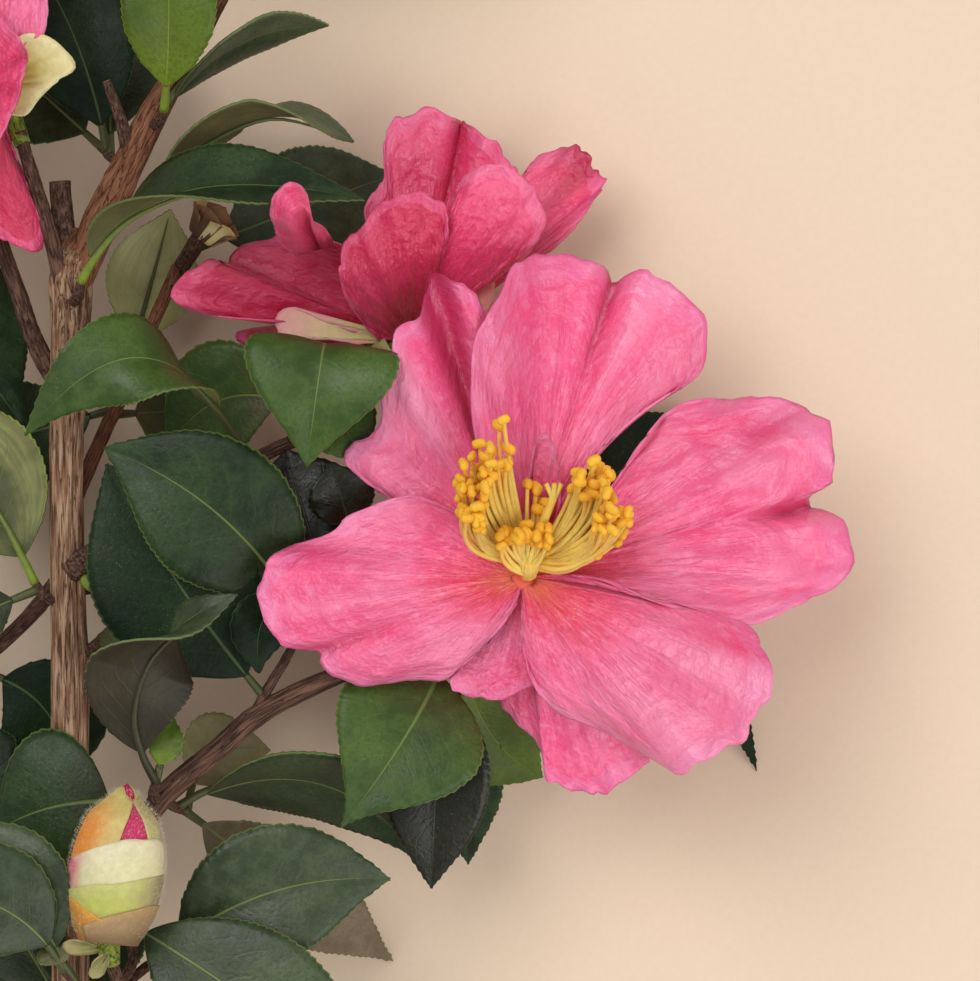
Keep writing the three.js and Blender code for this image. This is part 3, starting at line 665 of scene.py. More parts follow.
# %% Routes of the limbs
LIMBS = {
    "main_stem": [
        [-1, -12, 30, 2.8], [-1, 20, 30, 2.7], [-1, 44, 30, 2.6], [-1.5, 64, 30, 2.5],
        [-1.5, 84, 30, 2.5], [-1, 98, 30, 2.8], [-1, 106, 30, 3.1], [-0.5, 110, 30, 2.5],
        [0.5, 113, 30, 1.2],
    ],
    "upper_bough": [
        [-0.5, 104, 30, 2.2], [3.2, 113.5, 30, 2.75], [7.5, 122.5, 30, 2.4], [11.5, 130.5, 30, 2.1],
        [16.5, 139, 30, 1.6], [21, 147, 31, 1.4], [26.5, 157, 33, 1],
    ],
    "left_bough": [[-1.4, 103, 30.6, 1.6], [-4.5, 115, 33, 1.1], [-6.5, 121.5, 35, 1], [-8, 127, 36, 1]],
    "back_bough": [
        [-1, 72, 29, 1.2], [3.5, 83, 24, 1.1], [6.5, 90, 21, 1], [10, 98.5, 18, 1], [14, 108, 17, 0.9],
    ],
    "left_high_bough": [
        [-1.5, 88, 30, 1.5], [-6, 95.5, 27, 1.4], [-9, 103.5, 25, 1.3], [-14, 117, 22, 1],
    ],
    "left_low_bough": [
        [-1, 64, 30, 1.3], [-6, 57.5, 27, 1.2], [-11, 52.5, 25, 1.1], [-15.5, 48.5, 24, 1],
    ],
    "second_bloom_bough": [
        [-1.5, 63, 29, 1.3], [4.5, 67.5, 25, 1.3], [11.5, 72.5, 22, 1.2], [25, 79, 20, 1.1],
        [39, 85.5, 20, 1],
    ],
    "bloom_bough": [
        [-1, 9, 30, 2], [5, 19, 31, 1.8], [12.5, 29.5, 32, 1.7], [20.5, 36.5, 32, 1.6], [27, 42, 32, 1.6],
        [37, 47, 31, 1.4], [47.5, 51, 29, 1.2], [59, 57, 28, 1.2],
    ],
    "bud_bough": [[-1, -5, 30, 1.4], [4, -1, 33, 1.2], [6.5, 2.5, 38, 1], [5.5, 7, 41, 0.9]],
}
SNAGS = {
    "main_stem": [
        [[-1, 104, 30, 2], [-2, 113, 30, 1.7], [-2.5, 120, 30, 1.5]],
        [[-1, 63, 31, 2], [1.5, 64.5, 32, 1.8], [3, 66, 32.5, 1.2]],
        [[-1, 50, 30, 1], [2, 51.5, 30, 0.9], [3.5, 52, 30, 0.8]],
    ],
    "upper_bough": [
        [[8, 123, 30, 1.4], [6.5, 129, 32, 0.9], [4.5, 134.5, 33, 0.6]],
    ],
}

# %% Rolling the limbs
CUT_WOOD = ramp_finish("cut_wood", (0.36, 0.24, 0.14), (0.40, 0.27, 0.15), (0.36, 0.24, 0.14), 0.8, OPAQUE)
SNAG_SIDES = 20
FEWEST_RINGS = 6


def fibrous(seed):
    """Old bark: long strips that stand up, splits between them and finer fibres."""

    def depth(u, length):
        strips = grain(u * 16, length * 0.09, seed, 16)
        fibres = grain(u * 44, length * 0.35, seed + 1, 44)
        knots = grain(u * 3, length * 0.12, seed + 2, 3)
        return 0.26 * strips + 0.10 * fibres + 0.18 * knots

    return depth


def smooth_bark(seed):
    def depth(u, length):
        ridges = grain(u * 9, length * 0.25, seed, 9)
        pores = grain(u * 20, length * 1.1, seed + 1, 20)
        return 0.07 * ridges + 0.05 * pores

    return depth


def show_cut_ends(piece):
    """The flat faces of a stem's ends take the second finish."""
    for face in piece.data.polygons:
        face.material_index = int(len(face.vertices) == 3)


def build_limb(name, finish, sides, ring_length, bark):
    parts = []
    for i, places in enumerate([LIMBS[name], *SNAGS.get(name, [])]):
        rings = max(FEWEST_RINGS, round(length_through(places) / ring_length))
        part = roll_up("limb", places, SNAG_SIDES if i else sides, rings, bark(10 * i + len(name)))
        finish_with(part, TWIG_BARK if i else finish, CUT_WOOD)
        show_cut_ends(part)
        parts.append(part)
    joined(name + "_bark", parts, "bark" if name == "main_stem" else "twig_bark", name)


THIN_BOUGHS = ("left_bough", "left_high_bough", "left_low_bough", "second_bloom_bough", "bud_bough")
build_limb("main_stem", OLD_BARK, sides=56, ring_length=0.4, bark=fibrous)
build_limb("upper_bough", RED_BARK, sides=32, ring_length=0.5, bark=smooth_bark)
build_limb("back_bough", RED_BARK, sides=24, ring_length=0.7, bark=smooth_bark)
build_limb("bloom_bough", TWIG_BARK, sides=28, ring_length=0.6, bark=smooth_bark)
for name in THIN_BOUGHS:
    build_limb(name, TWIG_BARK, sides=20, ring_length=0.6, bark=smooth_bark)

# %% [markdown]
# ## Leaves
# A camellia leaf is an ellipse with a drawn-out tip, folded a little along its rib, its halves gently
# arched and its margin finely saw-toothed. The blade is a sheet: its spine is a curve from foot to tip, its
# width follows the leaf's outline, and the outermost vertices step in and out to make the teeth. The stalk
# runs on beneath the blade as the rib, which is how a real leaf is braced.
#
# The table gives for each spray how its short twig runs, and then its leaves: how far up the twig each
# sits, its bearing, its climb and its length. FLOOR as the climb lets the tip rest on the floor. arch lifts
# the middle of the leaf, bow pushes it sideways and knee says how far along. roll turns the blade about its
# own length, evenly spread from foot to tip where it is a list, fold is the angle along the rib, and taper
# slims the tip. tone, under and stalk name the finishes of its two sides and of its stalk.

# %% Where the leaves are
FLOOR = "floor"


def leaf(at, bearing, climb, length, **form):
    return dict(at=at, bearing=bearing, climb=climb, length=length, **form)


SPRAYS = {
    "tip_leaves": [
        [[25, 154.5, 32.5], [29, 162, 34], [31, 168, 35]],
        leaf(0.4, 150, -6, 30, arch=4),
        leaf(0.6, 35, -10, 33, arch=4),
        leaf(1, 95, 8, 27, arch=4, width=13, tone="young"),
        leaf(0.3, 68, FLOOR, 46, arch=4),
    ],
    "upper_right_leaves": [
        [[10.5, 128, 30], [12, 128.5, 33], [13, 130, 35]],
        leaf(1, 89, 12, 30, arch=5, bow=-1, width=14, tone="young", stalk="lime"),
        leaf(0.5, 31, -16, 30, arch=2, bow=4, roll=-78, width=15, tone="sheen_grey", under="dark"),
    ],
    "upper_left_leaves": [
        [[7.5, 122.5, 29], [5, 123.5, 27], [3.5, 125, 25]],
        leaf(0.6, 92, -40, 34, arch=2),
        leaf(1, 138, -18, 27),
        leaf(0.8, 112, -8, 33, arch=3, bow=-2, tone="blue"),
    ],
    "fork_leaf": [
        [[3.5, 114, 30], [6, 113.5, 30.5], [8, 115, 31]],
        leaf(1, 19, -12, 35, arch=3, bow=7.5, knee=0.66, width=17,
             roll=[122, 112, 100, 66, 45], tone="sheen_grey"),
    ],
    "front_leaf": [
        [[-1, 102, 31], [0.5, 103, 34.5], [1, 105, 36]],
        leaf(1, 16, 1, 43, arch=5, bow=8, knee=0.3, fold=30, width=17,
             roll=[115, 95, 67, 40, 30], stalk="lime"),
    ],
    "left_high_leaves": [
        [[-13, 114, 22.5], [-16, 121, 21], [-17, 125, 20]],
        leaf(0.2, -80, 4, 33, bow=-5, roll=30),
        leaf(0.4, 170, FLOOR, 38, arch=4),
        leaf(1, 122, FLOOR, 36, arch=4),
    ],
    "back_leaves": [
        [[13, 104.5, 17.5], [15, 108, 15], [17, 111, 14]],
        leaf(1, 22, FLOOR, 34, arch=2, tone="sheen_grey"),
    ],
    "back_left_leaf": [
        [[7.5, 92.5, 20.2], [7, 93.2, 17.5], [6.5, 93.7, 15]],
        leaf(1, 75, -6, 24, arch=-2, roll=172, width=14, under="pale"),
    ],
    "back_inner_leaves": [
        [[6.5, 90, 21], [5, 88, 19], [5, 86, 17]],
        leaf(1, 4, -52, 18, width=12, tone="mid"),
        leaf(0.8, -165, -22, 34, arch=2),
    ],
    "middle_leaves": [
        [[31, 82, 20], [34.5, 87, 22], [36, 92, 24]],
        leaf(1, -98, 48, 21, arch=13, width=23, tone="mid"),
        leaf(0.8, -58, 36, 17, arch=5, width=12, tone="mid"),
        leaf(0.4, -168, -18, 23, bow=-5, tone="mid"),
    ],
    "front_left_leaf": [
        [[22, 77.5, 20.5], [23.5, 79, 24], [24, 81, 27]],
        leaf(1, 177, 20, 33, arch=7, bow=-12, knee=0.6, width=14,
             roll=[-150, -75, -25, 0, 10], tone="mid", under="lime"),
    ],
    "inner_leaves": [
        [[26, 41.5, 32], [28, 45.5, 32], [31, 50.5, 31], [33, 55, 30], [36, 62, 29], [41, 66, 28]],
        leaf(0.15, 124, 1, 41, arch=2, bow=1, width=25, tone="blue"),
        leaf(0.6, 138, 8, 39, arch=4, bow=-4, width=22),
        leaf(0.7, -125, 22, 14, arch=3, bow=-4, width=9, tone="blue"),
        leaf(0.8, 107, -22, 21, tone="black"),
        leaf(1, 106, 18, 14, arch=1, width=10, tone="black"),
    ],
    "lower_front_leaves": [
        [[12, 29, 32.5], [11.5, 30.5, 35], [12, 32, 36]],
        leaf(1, 66, 19, 32, arch=3, bow=8, width=18, taper=0.3,
             roll=[185, 180, 160, 82, 20], tone="sheen_grey", under="dark", stalk="dark"),
        leaf(0.6, 75, 0, 11, arch=2, width=5, tone="young"),
    ],
    "behind_bud_leaf": [
        [[9.5, 25.5, 31.5], [9, 27, 33.5], [9.2, 29, 33.8]],
        leaf(1, -168, -10, 22, arch=2, bow=-2, fold=4, width=26, taper=0.45),
    ],
    "lower_back_leaves": [
        [[12.5, 29.5, 31.5], [14.5, 28, 29], [16, 27.5, 27]],
        leaf(0.5, -13, -16, 38, arch=1, bow=8, roll=-52, tone="dark"),
        leaf(0.8, -39, FLOOR, 48, arch=2, taper=0.5, tone="taupe"),
        leaf(1, 35, -45, 20, bow=4, width=13, tone="sage"),
    ],
    "bud_leaves": [
        [[6, 2, 37.5], [2, 2, 39], [-1, 5, 41]],
        leaf(0.9, 138, -4, 27, arch=4, bow=-4, tone="sheen_grey"),
        leaf(1, 155, 6, 26, arch=4, bow=-5, tone="sheen_grey"),
        leaf(0.7, 120, 5, 8, arch=2, width=6, tone="olive"),
    ],
    "front_bud_leaf": [
        [[5.2, 0.7, 35.4], [8.4, 6, 34], [7, 12, 34.5]],
        leaf(1, -34, 6, 44, arch=3, bow=1, width=22, roll=8, tone="sheen_grey"),
    ],
    "right_bud_leaf": [
        [[4.4, -0.5, 33.8], [8, 3, 31.5], [12, 6, 30]],
        leaf(1, 19, 3, 36, arch=3, bow=4, width=20, tone="sheen_grey"),
    ],
    "bottom_leaves": [
        [[-1, -6, 29], [-2, -5, 25], [-2, -3, 23]],
        leaf(1, 124, -28, 36, arch=1),
        leaf(0.8, 78, -30, 24),
        leaf(0.6, -125, FLOOR, 40, arch=3),
    ],
    "left_low_leaves": [
        [[-14.5, 49, 24], [-19, 47, 24], [-23, 46, 23]],
        leaf(0.2, -52, -14, 22, arch=2, bow=5, tone="blue"),
        leaf(0.4, -69, 12, 23, bow=-4, tone="blue"),
        leaf(0.7, 145, FLOOR, 40, arch=4),
        leaf(1, -160, FLOOR, 38, arch=4),
    ],
    "left_stem_leaves": [
        [[-1.5, 58, 29], [-4.5, 59, 32], [-6, 61, 32]],
        leaf(1, 126, -16, 32, arch=3, bow=-2, width=21, roll=-172, under="lime", stalk="lime"),
        leaf(0.8, -158, -6, 22, arch=2, width=12),
    ],
    "right_stem_leaf": [
        [[-1, 60, 29], [2, 60, 27], [4, 60, 25]],
        leaf(1, -88, -20, 22, bow=3, tone="olive"),
    ],
    "bloom_leaves": [
        [[50, 52.5, 28.5], [53, 51, 26], [57, 50, 24]],
        leaf(0.7, -122, 16, 31, arch=3, bow=1, width=30, taper=0.8, tone="mid"),
        leaf(0.6, -93, -2, 35, arch=3, width=16, tone="black"),
        leaf(0.9, -88, -30, 37, width=12),
        leaf(1, -58, -30, 25, arch=1, bow=-3, width=14, tone="young"),
    ],
    "far_bloom_leaves": [
        [[53, 54, 28.3], [56, 53.5, 25], [61, 57, 21.5]],
        leaf(1, -32, FLOOR, 52, arch=4, bow=9, width=13, taper=0.5, tone="blue"),
        leaf(0.9, 43, FLOOR, 49, arch=4, bow=2, tone="blue"),
    ],
}
print("leaves:", sum(len(spray) - 1 for spray in SPRAYS.values()))

# %% Growing one leaf
LEAF_THICKNESS = 0.34
LEAF_WIDTH = 18
LEAF_FOLD = 14
LEAF_HOLLOW = 0.16
WAVE_HEIGHT = 0.5
QUILT_HEIGHT = 0.07
TOOTH_STEP = 1.35
TOOTH_DEPTH = 0.32
STALK = 4.0
FLOOR_GAP = 0.2


def leaf_outline(s):
    """Half the width along the leaf: an ellipse whose last third is drawn out into a point."""
    drawn = 1 - 0.4 * ((s - 0.66).clip(0) / 0.34) ** 2
    return np.maximum(0.025, np.sin(np.pi * s**0.92).clip(0) ** 0.85 * drawn)


def spread_over(values, t):
    """The value at share t of a list spread evenly from the foot (0) to the tip (1)."""
    return np.interp(t, np.linspace(0, 1, len(values)), values)


def leaf_spine(foot, form):
    """The leaf's spine as a function of t, with its directions up and out."""
    length, climb = form["length"], form["climb"]
    if climb == FLOOR:
        climb = -np.degrees(np.arcsin(foot[2] / length))
    heading = direction(form["bearing"], climb)
    face = unit(UP - heading * heading[2])
    side = np.cross(face, heading)
    tip = foot + heading * length
    bend = face * 2 * form.get("arch", 0) + side * 2 * form.get("bow", 0)
    pull = foot + (tip - foot) * form.get("knee", 0.5) + bend
    roll = form.get("roll", 0)
    rolls = roll if isinstance(roll, list) else [roll]

    def spine(t):
        t = np.asarray(t, float)[:, None]
        along = unit((pull - foot) * (1 - t) + (tip - pull) * t)
        turn = np.radians(spread_over(rolls, t))
        up = face * np.cos(turn) + side * np.sin(turn)
        up = unit(up - along * np.sum(up * along, axis=1, keepdims=True))
        return curved(foot, pull, tip, t), up, np.cross(up, along)

    return spine


def veined(v, s):
    """The leaf swells a little between its side veins."""
    phase = 2 * np.pi * (SIDE_VEINS * s - VEIN_BEND * np.abs(v) ** VEIN_CURVE + VEIN_SHIFT * (v > 0))
    return QUILT_HEIGHT * np.sin(phase) * np.abs(v) * (1 - v**2)


def grow_blade(spine, form, seed):
    length = form["length"]
    teeth = max(8, round(length / TOOTH_STEP))
    blade, u, s = new_sheet("blade", 14, 4 * teeth)
    v = 1 - 2 * u
    spot, up, out = spine((STALK + (length - STALK) * s) / length)
    outline = leaf_outline(s) * (1 - form.get("taper", 0) * s**1.5)
    half = form.get("width", LEAF_WIDTH) / 2 * outline
    fold = np.radians(form.get("fold", LEAF_FOLD))
    gable = np.sqrt(v**2 + 0.004) - 0.063
    wave = WAVE_HEIGHT * grain(s * 5 + 9 * (v > 0), v * 0 + seed, seed) * np.abs(v) ** 2.2
    tooth = TOOTH_DEPTH * ((s * teeth) % 1) * (np.abs(v) > 0.99) * (s > 0.1) * (s < 0.98)
    width = half * v * np.cos(fold) + np.sign(v) * tooth
    lift = half * (gable * np.sin(fold) - LEAF_HOLLOW * v**2) + (wave + veined(v, s)) * outline
    places = spot + out * width[:, None] + up * lift[:, None]
    places[:, 2] = np.maximum(places[:, 2], FLOOR_GAP)
    move_to(blade, places)
    return blade


def grow_rib(spine, stalk):
    """The stalk, which runs on under the blade as its rib and thins out towards the tip."""
    spot, up, out = spine([0, stalk, 0.3, 0.6, 0.94])
    radius = np.array([0.72, 0.58, 0.4, 0.28, 0.1])
    sunk = radius * [0, 0.6, 0.8, 0.8, 0.8] + [0, 0.1, 0.15, 0.15, 0.1]
    centre = spot - up * sunk[:, None]
    centre[:, 2] = np.maximum(centre[:, 2], FLOOR_GAP + radius)
    return roll_up("rib", np.hstack([centre, radius[:, None]]), sides=8, rings=20)


def grow_leaf(foot, form, seed):
    """The blade and its stalk, as two parts of a spray."""
    spine = leaf_spine(foot, form)
    blade = grow_blade(spine, form, seed)
    finish_with(blade, LEAF_TONES[form.get("tone", "dark")], UNDER_TONES[form.get("under", "mid")])
    thicken(blade, LEAF_THICKNESS)
    rib = grow_rib(spine, STALK / form["length"])
    finish_with(rib, PETIOLES[form.get("stalk", "plain")])
    return [blade, rib]


# %% Growing the sprays
SPUR_RADIUS = 0.9
SPUR_TAPER = 0.12
spurs = []


def grow_spray(name, spur, leaves):
    parts = []
    for i, form in enumerate(leaves):
        foot = route(spur, [form["at"]])[0]
        parts += grow_leaf(foot, form, len(spurs) * 7 + i)
    places = [[*place, SPUR_RADIUS * (1 - SPUR_TAPER * i)] for i, place in enumerate(spur)]
    twig = roll_up("spur", places, sides=12, rings=8 * len(spur), relief=smooth_bark(len(spurs)))
    finish_with(twig, TWIG_BARK)
    spurs.append(twig)
    joined(name + "_blades", parts, "leaf", name)


for name, (spur, *leaves) in SPRAYS.items():
    grow_spray(name, spur, leaves)
joined("spray_twigs", spurs, "twig_bark")

# %% The horn of a fallen leaf's stalk on the old scar
HORN = [[1.2, 61.6, 32.4, 0.9], [2.8, 60.7, 33.4, 1.15], [4.6, 61.4, 33.6, 1.05], [5.4, 63.4, 33.2, 0.6]]
horn = roll_up("stalk_horn", HORN, sides=14, rings=16)
finish_with(horn, PETIOLES["lime"])
joined("stalk_horn", [horn], "leaf")

# %% [markdown]
# ## Petals
# Each petal of a sasanqua camellia is a broad fan with its own outline: notched, ruffled, creased, one edge
# turned up, another rolled under. A real petal could be cut from a plane and sculpted. Here its rim is
# described as a florist might, place by place: how far round, how far out and how high above the heart of
# the bloom. The sheet then spans from the heart to that rim, and a crease is a narrow valley or ridge along
# one direction.

# %% Reading a rim
RIM_STEPS = 600


def store(piece, name, values):
    """Keeps one number for every vertex, which a finish can read by its name."""
    layer = piece.data.attributes.new(name, "FLOAT", "POINT")
    layer.data.foreach_set("value", np.asarray(values, np.float32))


def rim_places(heart, rim, shares):
    """Places along the rim at even shares of its length."""
    rim = np.array(rim, float)
    turn = np.radians(rim[:, 0])
    corners = heart + np.stack([rim[:, 1] * np.cos(turn), rim[:, 1] * np.sin(turn), rim[:, 2]], axis=1)
    dense = route(corners, np.linspace(0, 1, RIM_STEPS))
    walked = np.concatenate([[0], np.cumsum(np.linalg.norm(np.diff(dense, axis=0), axis=1))])
    wanted = shares * walked[-1]
    return np.stack([np.interp(wanted, walked, dense[:, axis]) for axis in range(3)], axis=1)


# %% Folds, ruffles and rise of a petal
CURL_START = 0.72
FULL_CREASE = 3


def degrees_off(turn, about):
    return (turn - about + 180) % 360 - 180


def hump(turn, about, width):
    """1 along one direction of the fan, fading on both sides."""
    return np.exp(-((degrees_off(turn, about) / width) ** 2))


def petal_folds(petal, turn, r):
    """What creases and curls add to the height, and how far each place lies in a fold."""
    height, fold = 0 * r, 0 * r
    for about, depth, width, start in petal.get("creases", []):
        grown = np.clip((r - start) / (1 - start), 0, 1) ** 0.8
        height += depth * hump(turn, about, width) * grown
        fold -= np.clip(depth / FULL_CREASE, -1, 1) * hump(turn, about, width) * grown**0.6
    for about, drop, width in petal.get("curls", []):
        rolled = hump(turn, about, width) * np.clip((r - CURL_START) / (1 - CURL_START), 0, 1) ** 2
        height -= drop * rolled
        fold += 0.5 * rolled
    return height, fold


def petal_ruffles(petal, u, v, r, edge, seed):
    """The waves of a petal, from broad ruffles to fine crinkles, and the pleats that run from its foot."""
    crinkle = petal.get("crinkle", 0.6)
    waves = [
        (petal.get("ruffle", 1.1) * edge, 9, 2, 3),
        (crinkle, 26, 9, 1.5),
        (0.5 * crinkle, 50, 20, 2),
        (0.14, 40, 3, 1),
    ]
    height = 0 * r
    for i, (tall, across, along, growth) in enumerate(waves):
        height += tall * grain(u * across, v * along, seed + 2 + i) * r**growth
    pleat = grain(u * 17, v * 1.3, seed + 6)
    return height + petal.get("pleats", 0.5) * pleat * np.sin(np.pi * r**1.5) ** 0.7 * edge, pleat


def risen(petal, r):
    """The share of its rim's height that a petal has reached; one that stands climbs early and steeply."""
    if "stand" in petal:
        upright = np.clip(r / petal["stand"], 0, 1)
        return upright**2 * (3 - 2 * upright)
    return r ** petal.get("rise", 1.4)


# %% One petal
PETAL_THICKNESS = 0.32
FOOT_SHARE = 0.05


def grow_petal(heart, petal, finish, seed):
    heart = np.array(heart, float)
    piece, u, v = new_sheet("petal", petal.get("across", 92), petal.get("along", 54))
    spread = rim_places(heart, petal["rim"], u) - heart
    reach = np.linalg.norm(spread[:, :2], axis=1)
    turn = np.degrees(np.arctan2(spread[:, 1], spread[:, 0]))
    r = FOOT_SHARE + (1 - FOOT_SHARE) * v
    edge = np.minimum(1, 6 * np.minimum(u, 1 - u))
    frill = 0.020 * grain(u * 24, u * 0, seed) + 0.013 * grain(u * 60, u * 0, seed + 1)
    out = reach * r * (1 + frill * r**4)
    middle = np.degrees(np.arctan2(*spread[:, 1::-1].mean(axis=0)))
    heading = np.radians(middle + degrees_off(turn, middle) * (1 - petal.get("waist", 0) * (1 - r)))
    belly = petal.get("belly", 2) * np.sin(np.pi * r) * reach / reach.max() * edge
    folds, fold = petal_folds(petal, turn, r)
    ruffles, pleat = petal_ruffles(petal, u, v, r, edge, seed)
    height = spread[:, 2] * risen(petal, r) + belly + folds + ruffles
    spots = heart + np.stack([out * np.cos(heading), out * np.sin(heading), height], axis=1)
    spots[:, 2] = np.maximum(spots[:, 2], FLOOR_GAP)
    move_to(piece, spots)
    # The fold number carries painted shade into the finish: creases and curled edges darken, ridges and pleat
    # crests pale.
    store(piece, "fold", fold - 0.5 * pleat * r)
    finish_with(piece, finish, finish)
    thicken(piece, PETAL_THICKNESS)
    return piece


def build_bloom(name, heart, petals, finish, seed):
    """All petals of a bloom; one that has its own heart or finish keeps it."""
    parts = []
    for i, petal in enumerate(petals.values()):
        parts.append(grow_petal(petal.get("heart", heart), petal, petal.get("finish", finish), seed + 11 * i))
    joined(name + "_petals", parts, "petal", name)


# %% [markdown]
# ### The open bloom
# Five broad petals face the camera, with a small mauve one and a drooping one behind. Each rim goes round
# anticlockwise and lists turn (degrees), reach (mm) and lift (mm); a crease is (turn, height, width, where
# it starts); a curl is (turn, drop, width).

# %% The petals of the open bloom
MAIN_HEART = (65.5, 62, 32)
MAIN_PETALS = {
    "drooping": dict(
        rim=[(-92, 7, -4), (-102, 15, -6), (-100, 19, -6), (-92, 22, -6), (-84, 26, -6), (-83, 31, -6),
             (-78, 32, -6), (-71, 34, -6), (-64, 34, -6), (-56, 33, -6), (-51, 29, -6), (-44, 17, -4)],
        belly=-1,
        creases=[(-78, -1, 4, 0.3)],
    ),
    "mauve": dict(
        rim=[(-80, 3, -2), (-105, 7, -2), (-119, 12, -1), (-126, 19, 0), (-113, 19, 1), (-100, 18, 1),
             (-91, 17, 0), (-80, 14, -1), (-70, 6, -2)],
        belly=-1, across=40, along=30,
    ),
    "upper_left": dict(
        rim=[(112, 15, -2), (105, 24, -3), (101, 29, -2), (97, 34, 0), (98, 39, 2), (103, 45, 5),
             (106, 46, 6), (109, 43, 6), (112, 40, 6), (117, 40, 6), (120, 38, 6), (126, 35, 5),
             (135, 31, 4), (146, 32, 3), (149, 27, 2), (150, 20, 0), (160, 10, -1)],
        belly=2,
        creases=[(107, -6, 4, 0.12), (122, 1.5, 5, 0.2)],
    ),
    "top": dict(
        rim=[(50, 10, -1), (60, 20, -2), (56, 26, -3), (53, 31, -4), (50, 37, -4), (49, 40, -3),
             (51, 43, -3), (55, 46, -3), (59, 48, -4), (64, 48, -5), (68, 48, -5), (71, 46, -5),
             (73, 44, -5.2), (75, 47, -5), (79, 48, -4), (84, 48, -3), (90, 46, -1), (94, 43, 2),
             (99, 38, 5), (103, 33, 6), (106, 28, 6), (109, 22, 4), (112, 12, 1)],
        belly=-2, waist=0.75,
        creases=[(73, -3, 2.5, 0.64), (66, 1.2, 5, 0.2), (88, -0.8, 3, 0.5)],
    ),
    "right": dict(
        rim=[(1, 9, 3), (-3, 13, 5), (-9, 18, 6), (-12, 23, 7), (-11, 26, 6), (-12, 30, 5), (-12, 33, 4),
             (-9, 37, 2), (-5, 42, 0), (-2, 46, -2), (2, 48, -3), (8, 48, -4), (12, 46, -4), (15, 43, -3),
             (17, 47, -3), (21, 48, -3), (26, 50, -3), (30, 48, -4), (36, 45, -5), (43, 38, -5),
             (48, 34, -4), (49, 28, -2), (46, 19, -1), (44, 9, 0)],
        belly=2, waist=0.35, ruffle=1.7, crinkle=1.7, pleats=0.8,
        creases=[(14, -2.5, 2.5, 0.76), (6, 1, 4, 0.2), (30, -0.8, 3, 0.5), (20, 1.2, 3, 0.7)],
    ),
    "lower_right": dict(
        rim=[(-92, 5, 1), (-91, 9, 2), (-89, 12, 4), (-86, 15, 5), (-79, 19, 6), (-63, 25, 8),
             (-55, 32, 11), (-51, 36, 13), (-40, 38, 15), (-35, 39, 16), (-27, 39, 16), (-20, 38, 15),
             (-17, 36, 13), (-12, 33, 8), (-11, 29, 5), (-9, 23, 3), (-5, 15, 1)],
        belly=2,
        creases=[(-46, 1.6, 6, 0.3), (-24, 1, 5, 0.3)],
        curls=[(-66, 4, 14)],
    ),
    "left": dict(
        rim=[(-105, 4, 1), (-114, 8, 2), (-121, 12, 3), (-125, 15, 4), (-128, 19, 4), (-139, 23, 6),
             (-147, 29, 7), (-157, 33, 8), (-160, 32, 8), (-165, 37, 8), (-170, 38, 9), (-177, 39, 9),
             (177, 37, 9), (173, 34, 8), (168, 30, 7), (161, 27, 6), (154, 24, 5), (143, 20, 4),
             (136, 13, 3), (130, 6, 2)],
        belly=2.5,
        creases=[(-160, -1.6, 3, 0.5), (-172, 1.4, 5, 0.2), (172, -1.2, 4, 0.4)],
        curls=[(-140, 4, 14)],
    ),
}
build_bloom("main_bloom", MAIN_HEART, MAIN_PETALS, PINK, seed=0)

# %% [markdown]
# ### The second bloom
# It is turned away and seen from the side: two deep petals stand in front, a folded one behind them, and
# one hangs to the left with its tip curled up. Its shade is painted in: a deeper pink, nearly crimson in the
# folds.

